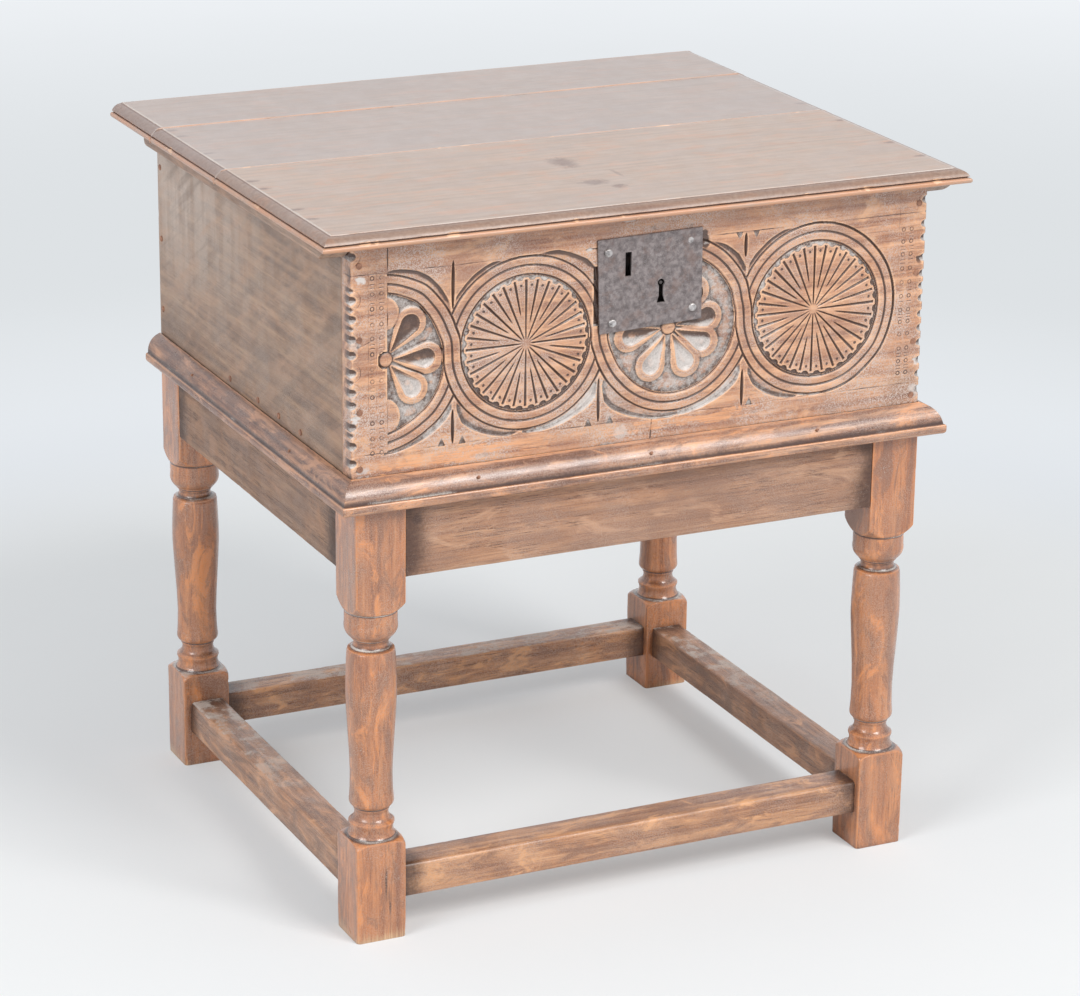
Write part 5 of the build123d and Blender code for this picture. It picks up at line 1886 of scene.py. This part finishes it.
    def interlace(self) -> None:
        """Cuts the rings, what fills them, and the ribbons that cross over."""
        cut = self.band_half + 1.2
        for k, ring in enumerate(RINGS):
            offset = self.offsets[k]
            seen = np.ones_like(offset, bool)
            inside = offset < -self.band_half
            if k > 0:
                seen &= (self.over[k - 1] > 0) | (self.x > ring.x) | (self.z < CROSSINGS[k - 1][1])
                inside &= (self.over[k - 1] > self.band_half) | (self.x > ring.x)
            if k < 3:
                seen &= (self.over[k] < 0) | (self.x < ring.x) | (self.z > CROSSINGS[k][1])
                inside &= (self.over[k] < -self.band_half) | (self.x < ring.x)
            if k == 0:
                seen &= self.x > self.end_left
                inside &= self.x > self.end_left
            if k in DAISY_MIDDLES:
                self.daisy(k, inside)
            else:
                self.rosette(k, ring, inside)
            self.carve(seen & (np.abs(offset) < cut), self.band(offset))
        for k, (x, middle) in enumerate(CROSSINGS):
            near = (np.abs(self.x - x) < 34) & (np.abs(self.z - middle) < 62)
            self.carve(near & (np.abs(self.over[k]) < cut), self.band(self.over[k]))

    def rosette(self, k: int, ring: Ring, inside: Array) -> None:
        """Fills a ring with wedges between alternate long and short grooves.

        Args:
            k: Number of the ring.
            ring: The ring.
            inside: Where its inside is.
        """
        reach, angle = ring.polar(self.x, self.z)
        rim = reach - self.offsets[k] - self.band_half - self.rim_strip
        spoke = 360.0 / self.spokes
        turn = (angle + 180) / spoke
        number = np.round(turn)
        aside = np.radians((turn - number) * spoke) * reach
        long = number % 2 == 0
        first = np.where(long, 1.5, 21.0 + 4 * np.sin(number * 2.1))
        last = rim - 4.5
        t = np.clip((reach - first) / (last - first), 0, 1)
        half = 0.7 + 1.05 * t + 0.15 * self.wobble
        groove = 2.1 * vee(aside, half) ** 0.85 * ease(reach, 0, 4) * ((reach > first) & (reach < last))
        taper = ease(reach, first - 1, first + 9) * (0.75 + 0.25 * t)
        between = np.radians((turn - np.floor(turn) - 0.5) * spoke) * reach
        bite = np.hypot(between, reach - rim + 1.0) < 3.9
        recess = (reach > rim - 2.2) | bite
        depth = 0.35 + groove * taper
        depth = np.where(recess, np.maximum(depth, 2.3 + 0.25 * self.fine), depth)
        dot = np.hypot(between, reach - rim + 9.5)
        depth = np.maximum(depth, 1.3 * vee(dot, 1.15) ** 0.6)
        edge = 0.5 * ease(reach, rim - 7, rim - 2)
        self.depth = np.where(inside, depth + edge * ~recess, self.depth)
        upper = 0.35 + 0.65 * ease(np.sin(np.radians(angle - 25)), -0.6, 0.9)
        speckle = 0.8 + 0.6 * self.fine
        self.dust = np.where(inside & recess, 0.75 * upper * speckle, self.dust)
        self.dust = np.where(inside & ~recess & (groove > 0.6), 0.12 + 0.1 * self.wobble, self.dust)
        self.grime = np.where(inside & (dot < 1.4), 1.0, self.grime)

    def petal(self, u: Array, v: Array, root: float, tip: float, small: float, large: float) -> Array:
        """Draws a petal, a drop with its root and its round tip on the u axis.

        Args:
            u: Place along the petal.
            v: Place across it.
            root: Where it starts.
            tip: Where it ends.
            small: Radius at its root.
            large: Radius at its tip.

        Returns:
            Signed distance from its outline, negative inside.
        """
        start, height = root + small, tip - large - root - small
        px, py = np.abs(v), u - start
        b = (small - large) / height
        a = math.sqrt(1 - b * b)
        k = -b * px + a * py
        near = np.hypot(px, py) - small
        far = np.hypot(px, py - height) - large
        flank = px * a + py * b - small
        return np.where(k < 0, near, np.where(k > a * height, far, flank))

    def daisy(self, k: int, inside: Array) -> None:
        """Fills a ring with a daisy of hollowed petals on a matted ground.

        Args:
            k: Number of the ring.
            inside: Where its inside is.
        """
        x, z = self.x - DAISY_MIDDLES[k][0], self.z - DAISY_MIDDLES[k][1]
        depth = 3.0 + 0.35 * self.fine + 0.2 * self.wobble
        dust = np.clip(0.48 + 0.15 * self.wobble + 0.2 * self.fine, 0, 1)
        grime = np.full_like(x, 0.3)
        for n, turn in enumerate(PETAL_TURNS[k]):
            c, s = math.cos(math.radians(turn)), math.sin(math.radians(turn))
            u, v = x * c + z * s, -x * s + z * c
            body = self.petal(u, v, 6.0, 57.0 + 0.8 * math.sin(n * 2.0), 1.2, 15.4)
            hollow = self.petal(u, v, 9.0, 50.0, 0.6, 9.8) + 0.3 * self.wobble
            top = 0.55 + 1.0 * ease(-body, 4.0, 0.0) ** 2 + 0.1 * self.wobble
            top = top + ease(-u, -22.0, -8.0) * 0.8
            sunk = 3.0 * ease(-hollow, 0.0, 6.5) + 0.9 * ease(-hollow, 0.0, 1.2)
            facet = np.where(hollow < 0, sunk + 0.1 * self.along, 0.0)
            on = body < 0
            depth = np.where(on, np.minimum(depth, top + facet), depth)
            # painted highlight and shade: the lower side of each petal hollow is made pale through the dust
            # mark, standing in for light glinting there, and the upper side darker through the grime mark,
            # standing in for shade
            below = ease(-(v * c + u * s * 0.35) + 0.12 * (u - 28), 0.0, 7.0)
            powder = np.clip(0.1 + 0.75 * below * (0.8 + 0.3 * self.wobble), 0, 1)
            powder = np.where(hollow < -0.6, powder, 0.0)
            dust = np.where(on, powder, dust)
            grime = np.where(on, np.where(hollow < 0, 0.15 + 0.5 * (1 - below), 0.0), grime)
            depth = np.where(on, depth, depth + 0.6 * vee(body - 0.9, 1.3) * (body < 2.2))
        self.carve(inside, depth, dust, grime)
        for lobe_x, lobe_z, size in LOBES if k == 0 else ():
            lobe = np.hypot(self.x - lobe_x, (self.z - lobe_z) * 0.9) - size
            self.carve(inside & (lobe < 0), 0.3 + 0.9 * ease(lobe, -2.5, 0))
        away = np.hypot(x, z)
        dome = 2.6 - 2.4 * np.sqrt(np.clip(1 - (away / 7.2) ** 2, 0, 1)) + 0.5 * vee(away, 1.5)
        moat = np.maximum(dome, 2.4 * vee(away - 8.0, 1.6))
        self.carve((away < 8.2) & (self.x > self.boss_left), moat, 0.0, 0.15 * (away > 5.5))

    def line(self, distance: Array, where: Array, deep: float = 0.55, half: float = 0.75) -> None:
        """Scribes a thin line, where the mask is set and the distance about 0."""
        worn = np.clip(0.75 + 0.6 * self.wobble, 0.15, 1)
        self.sink(deep * vee(distance, half) * where * worn)

    def punch(self, x: float, z: float, radius: float = 1.8) -> None:
        """Strikes a ring punch.

        Args:
            x: Place of its middle.
            z: Height of its middle.
            radius: Radius of the ring.
        """
        away = np.hypot(self.x - x, self.z - z) - radius
        struck = 0.8 + 0.35 * self.wobble
        self.sink(0.85 * vee(away, 0.95) * struck)
        self.grime = np.maximum(self.grime, 0.4 * vee(away, 0.9) * struck)

    def borders(self) -> None:
        """Scribes the guide lines and strikes the punches at both ends."""
        clear = np.min([np.abs(o) for o in self.offsets], axis=0) > self.band_half
        outside = clear & np.all([o > 0 for o in self.offsets], axis=0)
        for z in (self.guide_low, self.guide_high):
            where = outside | (self.x < self.end_left) | (self.x > self.end_right)
            self.line(self.z - z - 0.3 * self.wobble, where, 0.8, 0.9)
        upright = (self.z > 470) & (self.z < 690)
        for x in (-284.0, -276.0):
            self.line(self.x - x - 0.25 * self.wobble, upright & (self.z > 533))
        self.line(self.x - self.end_left - 0.2 * self.wobble, (self.z > 512) & (self.z < 690), 0.9, 0.9)
        for x in (272.0, 290.5):
            self.line(self.x - x - 0.25 * self.wobble, upright, 0.4)
        for column, heights in PUNCH_COLUMNS:
            for z in heights:
                self.punch(column, z)
        for column, heights in PUNCH_COLUMNS:
            for a, b in zip(heights, heights[1:]):
                for share in (0.38, 0.62):
                    z = a + (b - a) * share
                    self.line(self.z - z, np.abs(self.x - column) < 2.6, 0.8, 0.7)

    def nicks(self) -> None:
        """Nicks both arrises with a gouge and scribes a crescent round each nick."""
        for sign, heights, size in ((-1, LEFT_NICKS, 1.0), (-1, LEFT_SMALL, 0.62), (1, RIGHT_NICKS, 0.95)):
            inward = self.half - sign * self.x
            for n, z in enumerate(heights):
                wide, high = 5.8 * size, 4.2 * size
                bowl = 1 - (inward / wide) ** 2 - ((self.z - z) / high) ** 2
                self.sink(3.0 * size * np.sqrt(np.clip(bowl, 0, 1)))
                self.carve(bowl > 0, dust=0.55 * ease(z + 1.5 - self.z, 0, 3), adding=True)
                if size > 0.9:
                    away = np.hypot(inward - 0.5, self.z - z) - (9.4 if sign < 0 else 8.2)
                    self.line(away + 0.2 * self.wobble, inward > 3.0, 0.7, 0.8)

    def patch(self, x: float, z: float, wide: float, high: float, ragged: float = 0.45) -> Array:
        """Draws a ragged patch.

        Args:
            x: Place of its middle.
            z: Height of its middle.
            wide: Its reach to either side.
            high: Its reach up and down.
            ragged: How far its edge strays.

        Returns:
            The mask, 1 well inside the patch.
        """
        away = np.hypot((self.x - x) / wide, (self.z - z) / high)
        away = away + ragged * (self.wobble * 1.3 + self.along * 1.1 + self.fine * 0.5)
        return ease(-away, -0.95, -0.35)

    def damage(self) -> None:
        """Adds the gouges, chips, bruises and cracks of long use."""
        for x, z, wide, high, deep, dusty in SCARS:
            mask = self.patch(x, z, wide, high)
            self.depth = self.depth + mask * deep * (0.7 + 0.4 * self.fine)
            self.carve(True, dust=mask * dusty, grime=mask * (0.9 if dusty < 0.3 else 0.2), adding=True)
        for x, z, wide, high, amount in BARE_PATCHES:
            self.bare = np.maximum(self.bare, amount * self.patch(x, z, wide, high, 0.7))
        # painted shade: the slot left of the lock plate and the lock's mortise are sunk and given the full
        # grime mark, standing in for the shadow inside them
        gap = (self.x > -55.8) & (self.x < -50) & (self.z > 588) & (self.z < 646)
        self.depth = np.where(gap, self.depth + 2.5, self.depth)
        self.grime = np.where(gap, 1.0, self.grime)
        for x, z0, z1, lean in CRACKS:
            t = (self.z - z0) / (z1 - z0)
            crack = vee(self.x - x - lean * (t - 0.5) - self.wobble, 0.9) * ((t > 0) & (t < 1))
            self.depth = self.depth + 0.8 * crack
            self.grime = np.maximum(self.grime, 0.9 * crack)
        lock = (self.x > self.lock_left) & (self.x < self.lock_right)
        lock &= (self.z > self.lock_low) & (self.z < self.lock_high)
        self.depth = np.where(lock, self.lock_deep, self.depth)
        self.grime = np.where(lock, 1.0, self.grime)

    def marks(self) -> dict[str, Array]:
        """Reads the finished carving for what wears, what fills up and what gathers dust.

        Returns:
            The marks of the face by name, each from 0 to 1.
        """
        shallow = np.minimum(self.depth, 4.0)
        near, wide = blurred(shallow, 2), blurred(shallow, 8)
        pit = np.clip((shallow - wide) * 1.15, 0, 1)
        # crest wear: the ridges of the carving turn lighter, partly rubbed wood and partly a painted
        # highlight along them
        crest_wear_and_glint = np.clip((near - shallow) * 1.5 + (wide - shallow) * 0.3, 0, 1)
        slope = np.gradient(blurred(shallow, 1), self.step, axis=1)
        # upward slopes of the cuts take pale dust, partly real dust and partly a painted highlight of light
        # catching them
        ledge_dust_and_glint = np.clip(slope * 1.1 - 0.1, 0, 1) * np.clip(shallow - 0.35, 0, 1)
        grain = 0.5 + 0.45 * self.wobble + 0.3 * self.fine
        halo = np.clip(blurred(pit, 3) * 1.8 - pit * 1.3, 0, 1) * grain
        powder = np.maximum(ledge_dust_and_glint * (0.75 + 0.5 * self.wobble), halo * 0.75)
        return {
            "wear": np.clip(crest_wear_and_glint * 0.9 + 0.2 * self.wobble, 0, 1),
            "grime": np.clip(np.maximum(self.grime, pit * 1.3), 0, 1),
            "dust": np.clip(np.maximum(self.dust, powder), 0, 1),
            "bare": self.bare,
        }

    def piece(self) -> None:
        """Makes the mesh, with its marks, and ties it to the box."""
        self.depth = self.depth + 0.12 + 0.12 * self.wobble + 0.03 * self.fine
        edge = np.minimum(self.half - np.abs(self.x), np.minimum(self.high - self.z, self.z - self.low))
        self.depth = self.depth + 0.9 * ease(-edge, -1.6, 0.0)
        front = np.stack((self.x, self.face + self.depth, self.z), -1).reshape(-1, 3)
        index = np.arange(self.x.size).reshape(self.x.shape)
        rim = np.concatenate((index[:-1, 0], index[-1, :-1], index[:0:-1, -1], index[0, :0:-1]))
        backs = front[rim].copy()
        backs[:, 1] = self.back
        base = len(front) + np.arange(len(rim))
        walls = np.stack((rim, base, np.roll(base, -1), np.roll(rim, -1)), 1)
        shell = Shell(
            np.concatenate((front, backs)),
            grid_faces(index).tolist() + walls.tolist() + [base[::-1].tolist()],
            **{mark: np.pad(values.ravel(), (0, len(rim))) for mark, values in self.marks().items()},
        )
        shell.build("front_board_carved", Body.BOX, "box_oak", Finish.CARVED.material, ["front_board"], 60.0)


# ---- ironwork, inside boards and nails ----
@dataclass(frozen=True)
class Fitting:
    """Solids that keep their own shape and take a finish and a fine rounded edge."""

    nodes: tuple[str, ...]
    finish: Finish
    edge: float
    sharp_from: float = 40.0

    def dress(self) -> None:
        """Gives each node its finish and its rounded edge."""
        for name in self.nodes:
            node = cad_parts[name]
            if node.material_slots:
                for place in node.material_slots:
                    place.material = self.finish.material
            else:
                node.data.materials.append(self.finish.material)
            if self.edge:
                bevel = node.modifiers.new("rounded edge", "BEVEL")
                bevel.width, bevel.segments, bevel.limit_method = self.edge * MM, 2, "ANGLE"
                bevel.angle_limit = math.radians(self.sharp_from)
                bevel.use_clamp_overlap = True
            LOG.info("%s: finish %s", name, self.finish.value.name)


FITTINGS = (
    Fitting(("lock_plate",), Finish.PLATE, 0.35),
    Fitting(("lock_plate_nails",), Finish.PLATE_NAIL, 0.0),
    Fitting(("bolt_guides", "bolt_spring", "key_post", "lock_cap", "lock_bolt", "hinge_left_box_leaf",
             "hinge_right_box_leaf", "hinge_left_lid_leaf", "hinge_right_lid_leaf"), Finish.LOCKWORK, 0.25),
    Fitting(("hinge_pins", "lid_nails", "hinge_box_nails", "hinge_lid_nails"), Finish.NAIL, 0.0),
    Fitting(("front_nails", "back_nails", "bottom_nails", "moulding_sprigs"), Finish.SUNK_NAIL, 0.0),
    Fitting(("bottom_board_front", "bottom_board_back"), Finish.INSIDE, 0.5),
)


# ---- the studio ----
@dataclass(frozen=True)
class Paper:
    """Pale matt paper of the floor, painted in soft lighter and darker bands by the distance in metres, as
    painted light falloff.
    """

    name: str = "studio paper"
    painted_light_bands: tuple[tuple[float, float, Colour], ...] = (
        (0.3, 0.9, (240, 242, 242)), (0.9, 1.3, (234, 238, 242)), (1.3, 2.1, (222, 226, 229)),
        (2.4, 5.5, (247, 250, 254)),
    )
    near: Colour = (236, 238, 239)
    cloud: Colour = (220, 222, 224)
    plain_from: tuple[float, float] = (0.75, 1.9)
    roughness: float = 0.85
    specular: float = 0.2

    def dress(self) -> bpy.types.Material:
        """Makes the material; far from the box the camera sees its plain colour.

        Returns:
            The material.
        """
        material, s, shader = start_material(self.name)
        place = s.add("TexCoord").outputs["Object"]
        away = s.length(place)
        shade = self.near
        # painted light falloff: the paper is lighter and darker in bands by distance, as the studio light
        # falls on it
        for low, high, colour in self.painted_light_bands:
            shade = s.mix(s.band(away, low, high), shade, colour)
        shade = s.mix(s.band(s.noise(place, 3.0, 4.0), 0.3, 0.7, 0.0, 0.05), shade, self.cloud)
        s.fill(shader, {"Base Color": shade, "Roughness": self.roughness,
                        "Specular IOR Level": self.specular})
        far = s.times(s.band(away, *self.plain_from, 0.3, 1.0), s.add("LightPath").outputs["Is Camera Ray"])
        plain = s.add("Emission", {"Color": shade})
        both = s.add("MixShader", {0: far, 1: shader.outputs[0], 2: plain.outputs[0]})
        output = next(n for n in material.node_tree.nodes if n.type == "OUTPUT_MATERIAL")
        s.fill(output, {"Surface": both.outputs[0]})
        return material


@dataclass(frozen=True)
class Softbox:
    """One square lamp that faces the box: its place and side in metres, its power and its tint."""

    name: str
    place: tuple[float, float, float]
    size: float
    watts: float
    tint: Colour
    aim: tuple[float, float, float] = (0.0, 0.0, 0.4)

    def hang(self) -> None:
        """Hangs the lamp."""
        data = bpy.data.lights.new(self.name, "AREA")
        data.shape, data.size, data.energy, data.color = "SQUARE", self.size, self.watts, self.tint
        lamp = put(self.name, data)
        lamp.location = self.place
        lamp.rotation_euler = (Vector(self.aim) - Vector(self.place)).to_track_quat("-Z", "Y").to_euler()


@dataclass(frozen=True)
class Studio:
    """Pale seamless floor, soft light and the camera, with places in metres."""

    place: tuple[float, float, float] = (-1.5559, -3.3022, 1.5885)
    azimuth: float = -25.469
    elevation: float = 19.069
    roll: float = 0.703
    lens: float = 125.69
    sensor: float = 36.0
    floor_reach: float = 30.0
    floor_drop: float = 0.0002
    floor_rings: int = 40
    floor_points: int = 96
    air: Colour = (222, 226, 232)
    backdrop: Colour = (244, 247, 252)
    softboxes: tuple[Softbox, ...] = (
        Softbox("key softbox", (1.9, -4.6, 4.8), 2.6, 270.0, (1.0, 0.985, 0.965)),
        Softbox("fill softbox", (-4.6, -1.8, 3.6), 2.6, 150.0, (1.0, 1.0, 1.0)),
    )

    def build(self) -> None:
        """Sets up the view, the floor, the light and the camera."""
        bpy.context.scene.view_settings.view_transform = "Standard"
        self.floor()
        self.light()
        self.camera()

    def floor(self) -> None:
        """Makes the floor, a wide disc."""
        reach = np.geomspace(0.2, self.floor_reach, self.floor_rings)[:, None]
        angle = np.linspace(0, 2 * math.pi, self.floor_points, endpoint=False)
        points = np.stack((reach * np.cos(angle), reach * np.sin(angle), 0 * reach * angle), -1)
        points = np.concatenate(([(0, 0, 0)], points.reshape(-1, 3))) - (0, 0, self.floor_drop)
        faces = (1 + tube_faces(self.floor_rings, self.floor_points)[:, [0, 3, 2, 1]]).tolist()
        faces += [[0, 1 + n, 1 + (n + 1) % self.floor_points] for n in range(self.floor_points)]
        mesh = bpy.data.meshes.new("studio_floor")
        mesh.from_pydata(points.tolist(), [], faces)
        mesh.materials.append(Paper().dress())
        put("studio_floor", mesh)

    def light(self) -> None:
        """Lights the room evenly, with one large soft lamp from the front right and a fill."""
        world = bpy.data.worlds.new("studio") if bpy.context.scene.world is None else bpy.context.scene.world
        bpy.context.scene.world = world
        world.use_nodes = True
        s = Sheet(world.node_tree)
        path = s.add("LightPath").outputs
        seen = s.math("MAXIMUM", path["Is Camera Ray"], path["Is Glossy Ray"])
        seen = s.math("MAXIMUM", seen, path["Is Transmission Ray"])
        back = next(n for n in world.node_tree.nodes if n.type == "BACKGROUND")
        tone = s.mix(seen, self.air, self.backdrop)
        s.fill(back, {"Color": tone, "Strength": s.band(seen, 0.0, 1.0, 0.6, 1.0)})
        for softbox in self.softboxes:
            softbox.hang()

    def camera(self) -> None:
        """Places the camera and makes it the scene's."""
        az, el, roll = (math.radians(v) for v in (self.azimuth, self.elevation, self.roll))
        back = Vector((math.sin(az) * math.cos(el), -math.cos(az) * math.cos(el), math.sin(el)))
        right = (-back).cross(Vector((0, 0, 1))).normalized()
        up = right.cross(-back)
        turned = right * math.cos(roll) + up * math.sin(roll)
        upright = up * math.cos(roll) - right * math.sin(roll)
        data = bpy.data.cameras.new("camera")
        data.lens, data.sensor_width, data.sensor_fit = self.lens, self.sensor, "HORIZONTAL"
        data.clip_start, data.clip_end = 0.1, 100.0
        camera = put("camera", data)
        facing = Matrix((turned, upright, back)).transposed().to_4x4()
        camera.matrix_world = Matrix.Translation(self.place) @ facing
        bpy.context.scene.camera = camera


def main() -> None:
    """Builds the stand, the box, the lid, the fittings and the studio, in that order."""
    logging.basicConfig(level=logging.INFO, format="%(name)s %(message)s")
    Stand().build()
    CarvedFront().build()
    BoxBoards().build()
    Lid().build()
    for fitting in FITTINGS:
        fitting.dress()
    Studio().build()


if __name__ == "__main__":
    main()
